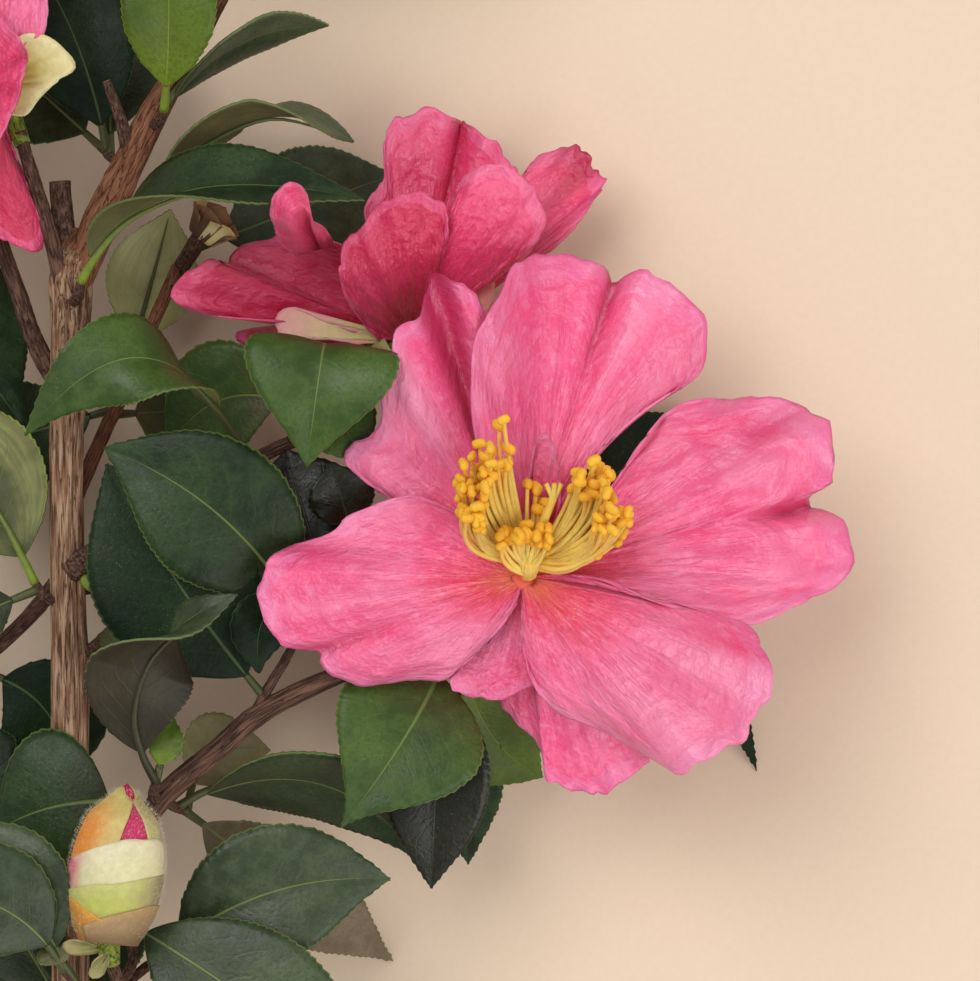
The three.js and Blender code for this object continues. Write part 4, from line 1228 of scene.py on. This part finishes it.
# %% The petals of the second bloom
SECOND_HEART = (49, 97, 18)
SECOND_PETALS = {
    "low_tip": dict(
        rim=[(-170, 6, -2), (-178, 16, -4), (-178, 24, -4), (178, 27, -4), (175, 23, -4), (171, 16, -3),
             (160, 7, -1)],
        across=36, along=30,
    ),
    "back": dict(
        finish=MAGENTA,
        rim=[(54, 20, -3), (57, 29, -4), (62, 31, -4), (66, 32, -3), (72, 33, -3), (77, 34, -3),
             (76, 33, -5), (78, 34, -3), (83, 35, -3), (87, 35, -3), (92, 34, -3), (97, 32, -3),
             (99, 28, -3), (100, 25, -3), (108, 22, -2), (111, 19, -1), (112, 10, 0)],
        belly=-1.5,
        creases=[(76, -2.5, 4, 0.3), (70, 1.2, 4, 0.3)],
    ),
    "right": dict(
        finish=MAGENTA,
        rim=[(30, 10, 0), (33, 17, -1), (33, 24, -2), (34, 28, -2), (36, 32, -3), (38, 35, -3),
             (40, 38, -4), (45, 38, -5), (50, 38, -6), (53, 36, -6), (56, 33, -6), (56, 28, -5),
             (56, 14, -2)],
        belly=1,
        creases=[(44, -1, 4, 0.4)],
        curls=[(48, -3, 8)],
    ),
    "left": dict(
        rim=[(-170, 5, 1), (175, 9, 2), (170, 14, 2), (172, 19, 4), (173, 24, 6), (173, 31, 7),
             (171, 35, 9), (168, 36, 9), (163, 34, 9), (158, 31, 9), (158, 29, 8), (155, 30, 7),
             (149, 28, 5), (142, 25, 3), (136, 22, 2), (122, 16, 1), (112, 8, 0)],
        belly=-2,
        creases=[(157, -2.5, 3, 0.35), (165, 2, 5, 0.5)],
        curls=[(150, 3, 7)],
    ),
    "curled": dict(
        finish=MAGENTA,
        heart=(35.5, 110.5, 21),
        rim=[(13, 2.2, 2), (75, 2.8, 12), (105, 3.8, 20), (102, 7.3, 25), (112, 9.2, 26.5), (130, 9, 26.5),
             (145, 7.8, 25), (162, 6.4, 18), (180, 5.4, 9), (196, 3.6, 2)],
        stand=0.6, belly=0, across=60, along=36, ruffle=0.9, pleats=0.7,
        creases=[(118, 0.8, 9, 0.2)],
    ),
    "front_left": dict(
        rim=[(-178, 5, 3), (160, 8, 6), (146, 12, 9), (134, 15, 12), (124, 17, 13), (113, 18, 14),
             (102, 20, 14), (91, 21, 14), (81, 21, 13), (76, 20, 12), (72, 18, 11), (68, 11, 6),
             (60, 5, 2)],
        belly=2, rise=0.8,
    ),
    "front_right": dict(
        finish=MAGENTA,
        rim=[(80, 6, 2), (75, 10, 5), (73, 15, 8), (73, 20, 10), (72, 25, 11), (67, 28, 11), (60, 29, 11),
             (53, 29, 10), (47, 28, 8), (42, 27, 7), (38, 24, 6), (36, 20, 4), (36, 15, 3), (42, 10, 2)],
        belly=2, rise=0.9,
        creases=[(74, -1, 4, 0.2)],
    ),
}
build_bloom("second_bloom", SECOND_HEART, SECOND_PETALS, SHADED_CRIMSON, seed=200)

# %% [markdown]
# ### The third bloom
# The picture's left edge cuts through it. What shows is a crumpled petal in front, a mauve one above, a
# crimson one hanging below and a cream scale bent back. The rest of the bloom is finished in the same way:
# the hidden petals take their rim from a rule, so that the branch is whole from every side.

# %% A rim by rule, and the petals of the third bloom
RIM_CORNERS = 11


def plain_rim(bearing, length, width, lift):
    """The rim of an ordinary petal: narrow at its foot, broad at two thirds, with a shallow notch."""
    rim = []
    for share in np.linspace(-1, 1, RIM_CORNERS):
        out = length * (1 - 0.52 * abs(share) ** 3 - 0.08 * (1 - abs(share)) ** 3)
        rim.append((bearing + share * np.degrees(np.arctan(width / length)), out, lift * out / length))
    return [(rim[0][0] - 4, 0.2 * length, 0), *rim, (rim[-1][0] + 4, 0.2 * length, 0)]


THIRD_HEART = (-14, 133, 38)
THIRD_PETALS = {
    "upper_left": dict(rim=plain_rim(148, 34, 17, 4)),
    "lower_left": dict(rim=plain_rim(-162, 34, 17, 3)),
    "bottom": dict(rim=plain_rim(-112, 28, 13, -4), belly=1, finish=SHADED_CRIMSON),
    "crimson": dict(
        finish=SHADED_CRIMSON,
        rim=[(-52, 6, -2), (-61, 12, -4), (-64, 19, -5), (-66, 23, -5), (-70, 25, -5), (-75, 24, -5),
             (-81, 22, -5), (-88, 20, -5), (-94, 14, -4), (-96, 7, -2)],
        belly=1, across=48,
    ),
    "mauve": dict(
        rim=[(20, 7, 2), (34, 11, 3), (43, 14.5, 4), (56, 18, 4), (70, 24, 4), (84, 29, 4), (98, 31, 4),
             (112, 28, 4), (124, 20, 3), (134, 10, 1)],
        belly=2,
    ),
    "front": dict(
        finish=MAGENTA,
        rim=[(-112, 6, 6), (-92, 9, 8), (-70, 9.5, 9), (-50, 8, 10), (-14, 7, 11), (12, 8, 11),
             (30, 9, 11), (42, 9.5, 10), (60, 10, 9), (82, 12, 8), (102, 11, 6)],
        belly=1, rise=0.7, crinkle=0.7, across=56,
        creases=[(30, -2, 12, 0.3), (-10, -1.5, 12, 0.3)],
    ),
}
build_bloom("third_bloom", THIRD_HEART, THIRD_PETALS, PINK, seed=400)

# %% [markdown]
# ### Stalks, calyx scales and the slim petal
# Behind each bloom a short stalk ends in a calyx of rounded scales. Two blooms show cream scales bent
# outwards. Calyx and bud are the same thing at different ages, so one rule serves both: an egg-shaped body,
# and scales that hug it, each a small sheet whose upper edge is a smooth arc.

# %% Scales that hug an egg


def egg_frame(foot, bearing, climb):
    """An egg's foot, its axis, and the two directions across it: right and near."""
    axis = direction(bearing, climb)
    right = direction(bearing - 90, 0)
    return np.array(foot, float), axis, right, np.cross(right, axis)


def egg_places(egg, length, radius, s, turn, raised):
    """Places on the egg: s from its foot to its tip, turn in degrees with 90 towards the camera."""
    foot, axis, right, near = egg
    swell = np.sin(np.pi * (0.13 + 0.8 * np.clip(s, 0, 1)) ** 0.95).clip(0) ** 0.62
    swell = swell * np.clip((1.03 - s) / 0.2, 0, 1) ** 0.5
    angle = np.radians(turn)
    out = np.cos(angle)[:, None] * right + np.sin(angle)[:, None] * near
    return foot + axis * (length * s)[:, None] + out * (radius * swell + raised)[:, None]


def grow_scale(egg, length, radius, scale, finish, seed):
    """One scale, which hugs the egg between two turns; edge lists its height from one to the other."""
    piece, u, v = new_sheet("scale", 36, 20)
    v = v**0.8
    first, last = scale["turns"]
    narrow_first, narrow_last = scale.get("narrow", (0, 0))
    turn = first + narrow_first * v**4 + (last - first + (narrow_last - narrow_first) * v**4) * u
    corners = [[share, high, 0] for share, high in zip(np.linspace(0, 1, len(scale["edge"])), scale["edge"])]
    top = route(corners, u)[:, 1]
    s = scale["low"] + (top - scale["low"]) * v + 0.008 * grain(u * 9, u * 0, seed) * v
    raised = scale.get("raise", 0.3) + scale.get("lip", 0.25) * v**4 + scale.get("flare", 0) * v**3
    raised = raised + 0.08 * grain(u * 14, v * 3, seed) * v
    move_to(piece, egg_places(egg, length, radius, s, turn, raised))
    finish_with(piece, finish, finish)
    thicken(piece, scale.get("thickness", 0.25))
    return piece


def round_edge(high):
    """The upper edge of a scale with rounded shoulders."""
    return [high - 0.12, high, high - 0.12]


def grow_stalk(name, places, finish, sides, rings, seed):
    stalk = roll_up(name, places, sides, rings, smooth_bark(seed))
    finish_with(stalk, finish)
    return stalk


# %% The calyx of each bloom
OLIVE_COLOURS = ((0.16, 0.15, 0.04), (0.26, 0.25, 0.08), (0.36, 0.30, 0.13))
OLIVE_SCALE = ramp_finish("scale_olive", *OLIVE_COLOURS, 0.6, OPAQUE)
CALYX_RADIUS = 3.9
CALYX_SCALES = 6
BLOOM_STALKS = [
    [[57, 56, 28, 1.3], [61, 58.6, 26.8, 1.5], [64.5, 61, 26.5, 2], [65.2, 61.8, 29, 2.6]],
    [[37, 84.5, 20, 1.3], [42, 89, 18, 1.7], [48, 96, 18, 3]],
    [[-7.5, 125, 36, 1.2], [-9.5, 129.5, 34.5, 1.5], [-12.6, 132, 33.5, 2], [-13.4, 132.6, 35.5, 2.6]],
]
CALYX_EGGS = [
    (egg_frame((65, 61.6, 26), 34, 72), 3.4),
    (egg_frame((44, 92, 18), 45, 0), 6),
    (egg_frame((-12.8, 132.2, 33), 145, 65), 4.5),
]


def calyx_scale(i, k):
    """Every second scale lies lower and stands a little off, so that they overlap."""
    inner = k % 2
    first = 60 * k + 20 * i - 46
    scale = dict(turns=(first, first + 92), edge=round_edge(0.72 - 0.14 * inner), low=0.02, flare=0.5)
    scale["raise"] = 0.1 + 0.15 * inner
    return scale


parts = []
for i, (places, (egg, length)) in enumerate(zip(BLOOM_STALKS, CALYX_EGGS)):
    parts.append(grow_stalk("stalk", places, GREEN_TWIG, sides=16, rings=24, seed=60 + i))
    for k in range(CALYX_SCALES):
        parts.append(grow_scale(egg, length, CALYX_RADIUS, calyx_scale(i, k), OLIVE_SCALE, 500 + k))
joined("calyx_scales", parts, "bud_scale")

# %% Cream scales and the slim petal
CREAM = ramp_finish("scale_cream", (0.60, 0.48, 0.16), (0.80, 0.64, 0.33), (0.86, 0.36, 0.38), 0.5)
YELLOW_SCALE = ramp_finish("scale_yellow", (0.60, 0.42, 0.14), (0.56, 0.46, 0.10), (0.82, 0.70, 0.38), 0.5)
BENT_SCALES = [
    (
        SECOND_HEART,
        CREAM,
        [(-175, 8, 4), (179, 14, 5), (179, 19.5, 5), (172, 20.5, 5), (167, 20, 5), (165, 17, 5), (168, 14, 5),
         (172, 9, 4)],
    ),
    (
        SECOND_HEART,
        CREAM,
        [(8, 5, 2), (18, 11, 2), (27, 13.5, 2), (36, 15, 2), (42, 13, 3), (50, 11, 3), (62, 6, 2)],
    ),
    (
        THIRD_HEART,
        YELLOW_SCALE,
        [(-40, 6, 3), (-28, 8.5, 3), (-9, 9.5, 3), (4, 12, 3), (11, 14.5, 2), (18, 14.5, 2), (34, 13, 3),
         (46, 10.5, 4), (58, 6, 4)],
    ),
]
parts = []
for i, (heart, finish, rim) in enumerate(BENT_SCALES):
    scale = dict(rim=rim, across=32, along=20, crinkle=0.1, ruffle=0.2)
    parts.append(grow_petal(heart, scale, finish, 600 + i))
joined("bent_scales", parts, "bud_scale")
SLIM_PETAL = dict(
    rim=[(52, 7, 2), (66, 13, 3), (73, 17, 4), (80, 21, 5), (84, 21, 5), (86, 17, 4), (88, 12, 3),
         (92, 6, 2)],
    belly=1, across=36, along=28, ruffle=0.4,
)
joined("slim_petal", [grow_petal(MAIN_HEART, SLIM_PETAL, PINK, 620)], "petal")

# %% [markdown]
# ## Stamens
# Some hundred and fifty yellow filaments are fused into a cup at their feet and part into two wings, each
# filament tipped with a two-lobed anther. They could be scattered as instances, but each has its own bend,
# so every filament is rolled by itself: its turn, its reach and its lift above the cup say where it ends.
# The anther is modelled once, from an ico sphere with a groove pressed into it, and copied with its own
# mesh.

# %% The filaments
FILAMENT = ramp_finish("filament", (1.00, 0.58, 0.09), (1.00, 0.72, 0.18), (1.00, 0.64, 0.12), 0.4)
STAMENS_FOOT = np.array([66.2, 63.2, 34.5])
STAMENS_AXIS = direction(90, 42)
FILAMENT_RADII = np.array([0.55, 0.46, 0.38, 0.33, 0.30])
CUP_RADIUS = 1.3
rng = np.random.default_rng(23)
WINGS = {
    "left": dict(turns=(99, 141), reach=(24, 13), lift=(7, 19), count=66),
    "right": dict(turns=(64, 24), reach=(20, 16), lift=(7, 18), count=54),
    "behind": dict(turns=(70, 94), reach=(12, 14), lift=(2, 6), count=7),
    "curling": dict(turns=(10, 24), reach=(13, 15), lift=(5, 9), count=4),
    "front": dict(turns=(50, 140), reach=(6.5, 6.5), lift=(5, 8.5), count=22, start=-1),
}


def filament_route(wing):
    """A filament from the cup's wall outwards and then bent up towards its tip, like the wall of a bowl."""
    share = rng.uniform()
    turn, reach = (ends[0] + (ends[1] - ends[0]) * share for ends in (wing["turns"], wing["reach"]))
    wall = direction(turn, 0) * wing.get("start", 1) * CUP_RADIUS
    foot = STAMENS_FOOT + STAMENS_AXIS * rng.uniform(-0.6, 1.0) + wall
    tip = STAMENS_FOOT + direction(turn, 0) * reach * rng.uniform(0.66, 1) + UP * rng.uniform(*wing["lift"])
    outwards = direction(90 + 1.6 * (turn - 90), 22)
    knee = foot + outwards * 0.5 * np.linalg.norm(tip - foot) + rng.normal(size=3) * 0.5
    t = np.linspace(0, 1, len(FILAMENT_RADII))[:, None]
    return np.hstack([curved(foot, knee, tip, t), FILAMENT_RADII[:, None]])


filaments = []
anther_places = []
for wing in WINGS.values():
    for _ in range(wing["count"]):
        places = filament_route(wing)
        filaments.append(roll_up("filament", places, sides=6, rings=14))
        finish_with(filaments[-1], FILAMENT)
        anther_places.append((places[-1, :3], unit(places[-1, :3] - places[-2, :3])))
print("filaments:", len(filaments))

# %% The cup at their feet and the coral heart below
CUP_RINGS = ((-1.2, 0.8), (-0.4, 1.3), (0.6, 1.6), (1.8, 1.5))
CUP_RIBS = 11
HEART_RINGS = [
    [65.5, 62, 29.5, 2.2], [65.5, 62.1, 30.8, 2.6], [65.6, 62.3, 31.5, 2.4], [65.7, 62.5, 31.9, 1.5],
]
HEART_CORAL = ramp_finish("heart_coral", (0.84, 0.09, 0.08), (0.88, 0.11, 0.09), (0.92, 0.15, 0.08), 0.5)


def ribbed(u, length):
    return 0.3 * np.abs(np.sin(2 * np.pi * CUP_RIBS * u)) - 0.15


cup_places = [[*(STAMENS_FOOT + STAMENS_AXIS * high), radius] for high, radius in CUP_RINGS]
cup = roll_up("cup", cup_places, sides=60, rings=16, relief=ribbed)
finish_with(cup, FILAMENT)
heart_knob = roll_up("heart", HEART_RINGS, sides=28, rings=12)
finish_with(heart_knob, HEART_CORAL)
joined("stamens", [cup, heart_knob, *filaments], "stamen", "main_stamens")

# %% One anther, copied to every tip
ANTHER_COLOURS = ((0.90, 0.42, 0.02), (1.00, 0.60, 0.04), (0.92, 0.46, 0.02))
ANTHER = ramp_finish("anther", *ANTHER_COLOURS, 0.7, OPAQUE, 2600.0)


def model_anther():
    """Two lobes with a groove between them, 1 mm long before each copy takes its own size."""
    bpy.ops.object.select_all(action="DESELECT")
    bpy.ops.mesh.primitive_ico_sphere_add(subdivisions=2, radius=1)
    anther = bpy.context.object
    for corner in anther.data.vertices:
        x, y, z = corner.co
        groove = 1 - 0.4 * np.exp(-((y / 0.25) ** 2)) * max(0, z)
        lump = 1 + 0.12 * np.sin(9 * x + 4 * y) * np.sin(7 * z + 2 * x)
        corner.co = Vector((x * 0.7, y * 0.86 * groove, z * 0.62 * groove)) * lump / 1000
    bpy.ops.object.shade_smooth()
    finish_with(anther, ANTHER)
    return anther


def copy_to(model, place, along, size):
    """A copy of the model with its own mesh, its long side across the filament's end."""
    copy = model.copy()
    copy.data = model.data.copy()
    bpy.context.collection.objects.link(copy)
    tilt = Vector(along).to_track_quat("X", "Z").to_matrix().to_4x4()
    spin = Matrix.Rotation(rng.uniform(0, 6.3), 4, "X")
    copy.data.transform(Matrix.Translation(metres(place)) @ tilt @ spin @ Matrix.Scale(size, 4))
    return copy


anther = model_anther()
anthers = [copy_to(anther, place, along, rng.uniform(1.05, 1.4)) for place, along in anther_places]
bpy.data.objects.remove(anther)
joined("anthers", anthers, "stamen")

# %% The pistil, a style with three branches
STYLE = ramp_finish("style", (0.86, 0.70, 0.20), (0.90, 0.70, 0.16), (0.92, 0.60, 0.08), 0.4)
STYLE_RISE = np.array([3.6, 10.5, 7.5])
BRANCH_TURNS = (-1, 0.1, 1)
style_foot = STAMENS_FOOT + STAMENS_AXIS * 2
style_tip = STAMENS_FOOT + STYLE_RISE
style_middle = style_foot * 0.5 + style_tip * 0.5
style_places = [[*style_foot, 0.7], [*style_middle, 0.65], [*style_tip, 0.6]]
branches = [roll_up("style", style_places, sides=10, rings=12)]
for side in BRANCH_TURNS:
    end = style_tip + np.array([1.1 * side, 1.9, 0.8 * (1 - abs(side))])
    branch_places = [[*(style_tip - STAMENS_AXIS * 0.5), 0.45], [*end, 0.38]]
    branches.append(roll_up("style_branch", branch_places, sides=8, rings=6))
for branch in branches:
    finish_with(branch, STYLE)
joined("pistil", branches, "stamen")

# %% [markdown]
# ## The bud
# The fat bud is an egg wrapped in overlapping scales, cream, lime and orange, with crimson petal showing in
# the gap between the two topmost ones. It is covered in silvery down. The down is made of some thousands of
# tiny slivers standing on the egg, joined into one mesh, because particles are lost on export.

# %% The finishes of the bud's scales
BLUSH = (0.80, 0.06, 0.22)
STRAW_SIDE = (0.70, 0.56, 0.20)
SILVER_BROWN = (0.36, 0.27, 0.16)
BUD_COLOURS = {
    "crimson": ((0.60, 0.02, 0.12), (0.66, 0.03, 0.16), (0.55, 0.02, 0.11), 0.5),
    "orange": ((0.80, 0.20, 0.01), (0.92, 0.27, 0.02), (0.70, 0.60, 0.18), 0.55),
    "straw": ((0.62, 0.50, 0.22), (0.66, 0.56, 0.26), (0.52, 0.40, 0.16), 0.55),
    "cream": ((0.74, 0.60, 0.26), (0.86, 0.74, 0.42), (0.90, 0.76, 0.50), 0.5),
    "lime": ((0.42, 0.30, 0.09), (0.58, 0.55, 0.11), (0.64, 0.60, 0.20), 0.55),
    "amber": ((0.34, 0.16, 0.04), (0.66, 0.27, 0.04), (0.84, 0.36, 0.05), 0.6),
    "brown": ((0.20, 0.12, 0.05), (0.36, 0.23, 0.11), (0.46, 0.30, 0.13), 0.65, OPAQUE),
}
BUD_SIDES = {
    "orange": (0.35, 0.0, STRAW_SIDE),
    "cream": (0.62, 0.80, BLUSH),
    "lime": (0.42, 0.22, SILVER_BROWN),
}
BUD_FINISHES = {}
for tone, colours in BUD_COLOURS.items():
    BUD_FINISHES[tone] = ramp_finish("bud_" + tone, *colours, side=BUD_SIDES.get(tone))

# %% The scales of the bud
BUD_EGG = egg_frame((5.3, 9.5, 42), 83, -2)
BUD_LENGTH = 22
BUD_RADIUS = 6.6
BUD_SCALES = [
    ("straw", dict(turns=(-112, 40), narrow=(0, 22), edge=[0.9, 1.0, 1.02, 1.0, 0.93], low=0.3)),
    ("orange", dict(turns=(90, 250), narrow=(-28, 0), edge=[0.93, 1.0, 1.02, 1.02, 1.0, 0.95], low=0.3)),
    ("cream", dict(turns=(-30, 215), edge=[0.56, 0.68, 0.70, 0.66, 0.57, 0.49, 0.41], low=0.14)),
    ("lime", dict(turns=(-45, 238), edge=[0.38, 0.48, 0.44, 0.38, 0.33, 0.28, 0.2], low=0.04)),
    ("amber", dict(turns=(96, 292), edge=[0.14, 0.25, 0.3, 0.26, 0.12], low=-0.01)),
    ("brown", dict(turns=(-92, 132), edge=[0.12, 0.24, 0.27, 0.2, 0.09], low=-0.01)),
]
BUD_STALK = [[5.7, 6, 40.7, 1.3], [5.4, 8.5, 41.6, 1.7], [5.3, 11, 42, 2.6]]
STALK_SCALES = [
    ((5.5, 8.5, 42), [(150, 1, 1), (160, 4, 1), (174, 6.5, 1), (186, 6, 1), (196, 3.5, 0), (210, 1, 0)]),
    ((5.6, 8, 42.5), [(200, 1, 1), (215, 3, 1), (232, 4.5, 1), (250, 4, 1), (262, 2, 0), (270, 1, 0)]),
]


def egg_body(name, egg, length, radius, finish):
    """The body under the scales, closed at its tip."""
    piece, u, v = new_sheet(name, 40, 40)
    places = egg_places(egg, length, radius, 0.01 + 1.03 * v, 360 * u, 0 * u)
    places[v == 0] = places[v == 0].mean(axis=0)
    move_to(piece, places)
    close_up(piece)
    finish_with(piece, finish)
    return piece


parts = [egg_body("bud_petals", BUD_EGG, BUD_LENGTH, BUD_RADIUS - 0.2, BUD_FINISHES["crimson"])]
for i, (tone, scale) in enumerate(BUD_SCALES):
    snug = {"raise": 0.02 + 0.09 * i, "lip": 0.08, "thickness": 0.16, **scale}
    parts.append(grow_scale(BUD_EGG, BUD_LENGTH, BUD_RADIUS, snug, BUD_FINISHES[tone], 700 + i))
stalk = grow_stalk("bud_stalk", BUD_STALK, GREEN_TWIG, sides=16, rings=14, seed=70)
for i, (foot, rim) in enumerate(STALK_SCALES):
    form = dict(rim=rim, belly=0.6, ruffle=0.1, crinkle=0.05, across=24, along=14)
    parts.append(grow_petal(foot, form, OLIVE_SCALE, 720 + i))
joined("flower_bud_scales", [*parts, stalk], "bud_scale", "flower_bud")

# %% The silvery down
DOWN = ramp_finish("silvery_down", (0.62, 0.56, 0.40), (0.76, 0.70, 0.54), (0.86, 0.82, 0.70), 0.6, OPAQUE)
SLIVER_FACES = ((0, 1, 3), (1, 2, 3), (2, 0, 3), (0, 2, 1))
SLIVER_COUNT = 6000
SLIVER_LENGTH = 0.8
SLIVER_WIDTH = 0.018


def sliver_corners(egg, length, radius, seed):
    """Slivers of four corners, each a pinch of two hairs that leans towards the tip of the bud."""
    places = np.random.default_rng(seed)
    count = SLIVER_COUNT
    s, turn = places.uniform(0.03, 1, count), places.uniform(0, 360, count)
    root = egg_places(egg, length, radius, s, turn, 0.45 + 0 * s)
    out = unit(egg_places(egg, length, radius, s, turn, 1.45 + 0 * s) - root)
    lean = unit(out + egg[1] * 0.9 + 0.35 * places.normal(size=(count, 3)))
    side = unit(np.cross(lean, out)) * SLIVER_WIDTH
    tip = root + lean * (SLIVER_LENGTH * places.uniform(0.5, 1, count))[:, None]
    back = np.cross(side, lean) * 0.9
    return np.concatenate([root + side, root - side, root + back, tip])


def grow_down(egg, length, radius, seed):
    corners = sliver_corners(egg, length, radius, seed)
    slivers = np.arange(SLIVER_COUNT)[:, None]
    faces = np.concatenate([slivers + SLIVER_COUNT * np.array(face) for face in SLIVER_FACES])
    mesh = bpy.data.meshes.new("down")
    mesh.from_pydata(metres(corners).tolist(), [], faces.tolist())
    mesh.update()
    mesh.uv_layers.new(name="UVMap")
    piece = bpy.data.objects.new("down", mesh)
    bpy.context.collection.objects.link(piece)
    finish_with(piece, DOWN)
    close_up(piece, merged=False)
    return piece


joined("bud_down", [grow_down(BUD_EGG, BUD_LENGTH, BUD_RADIUS, 31)], "bud_scale")

# %% [markdown]
# ## The spent bud
# On the thin bough behind sits the husk of a bud that has dropped its petals: a few brown scales, bent
# open.

# %% The husk
HUSK_COLOURS = ((0.060, 0.026, 0.012), (0.120, 0.052, 0.022), (0.24, 0.12, 0.05))
HUSK_BROWN = ramp_finish("husk_brown", *HUSK_COLOURS, 0.7, OPAQUE)
HUSK_EGG = egg_frame((17.5, 112, 20), 50, 12)
HUSK_STALK = [[14, 107.5, 17, 0.9], [17.5, 112.5, 20, 1.2]]
HUSK_CORE = dict(length=6, radius=2.2)
HUSK_LENGTH = 7
HUSK_RADIUS = 2.7
HUSK_SCALES = 7
STRAW_SCALES = (1, 4)

parts = [egg_body("husk_core", HUSK_EGG, finish=HUSK_BROWN, **HUSK_CORE)]
for k in range(HUSK_SCALES):
    edge = round_edge(0.6 + 0.07 * (k % 3))
    scale = dict(turns=(52 * k - 40, 52 * k + 40), edge=edge, low=0.05, flare=1.0)
    finish = BUD_FINISHES["straw"] if k in STRAW_SCALES else HUSK_BROWN
    parts.append(grow_scale(HUSK_EGG, HUSK_LENGTH, HUSK_RADIUS, scale, finish, 740 + k))
stalk = grow_stalk("husk_stalk", HUSK_STALK, TWIG_BARK, sides=12, rings=10, seed=71)
joined("spent_bud_husk", [*parts, stalk], "bud_scale", "spent_bud")

# %% [markdown]
# ## Floor, light and camera
# The branch lies on a plain warm floor. The light is that of a bright studio: a large soft lamp high on the
# left, a wide one opposite to open the shadows, and a pale sky all round. The camera looks straight down
# with a long lens, as far away as makes nearer petals a few hundredths larger, no more.

# %% Floor
FLOOR_SIZE = 6.0
PAPER = (0.800, 0.640, 0.490)
PAPER_LIGHT = (0.815, 0.655, 0.505)


def floor_finish():
    material, _, place = new_finish("floor_paper", {"Roughness": 0.9, "Specular IOR Level": 0.1})
    tooth = place.noise(900.0, 2.0)
    colour = blend(tooth.eased(0.3, 0.7), PAPER, PAPER_LIGHT)
    return dressed(material, colour, tooth, strength=0.1, distance=0.0002)


bpy.ops.object.select_all(action="DESELECT")
bpy.ops.mesh.primitive_plane_add(size=FLOOR_SIZE, location=(0, 0, 0))
floor = bpy.context.object
floor.name = "floor"
finish_with(floor, floor_finish())
print("floor, m:", FLOOR_SIZE)

# %% Light
LAMP_AIM = (30, 80, 0)
SKY_COLOUR = (1.0, 0.98, 0.96, 1)
SKY_STRENGTH = 0.47


def soft_lamp(name, place, size, power, colour):
    """A square lamp over the branch, facing its middle; place is in millimetres from there."""
    bpy.ops.object.light_add(type="AREA", location=metres(LAMP_AIM) + np.array(place) / 1000)
    lamp = bpy.context.object
    lamp.name = name
    lamp.data.size = size / 1000
    lamp.data.energy = power
    lamp.data.color = colour
    lamp.rotation_euler = (-Vector(place)).to_track_quat("-Z", "Y").to_euler()


soft_lamp("key_lamp", (-1300, 1400, 3300), size=2300, power=68, colour=(1.0, 0.985, 0.965))
soft_lamp("fill_lamp", (2400, -1800, 3000), size=3500, power=84, colour=(1.0, 0.97, 0.94))
world = bpy.data.worlds.new("studio")
bpy.context.scene.world = world
world.use_nodes = True
sky = world.node_tree.nodes["Background"]
sky.inputs["Color"].default_value = SKY_COLOUR
sky.inputs["Strength"].default_value = SKY_STRENGTH
bpy.context.scene.view_settings.view_transform = "Standard"
print("lamps:", len(bpy.data.lights))

# %% Camera
CAMERA_PLACE = (60.6, 74.6, 840)
LENS = 202.5
SENSOR_WIDTH = 36
FAR_LIMIT = 10
bpy.ops.object.camera_add(location=metres(CAMERA_PLACE), rotation=(0, 0, 0))
camera = bpy.context.object
camera.data.lens = LENS
camera.data.sensor_width = SENSOR_WIDTH
camera.data.clip_end = FAR_LIMIT
camera.data.dof.use_dof = False
bpy.context.scene.camera = camera
print("height of the camera, m:", round(camera.location.z, 3))
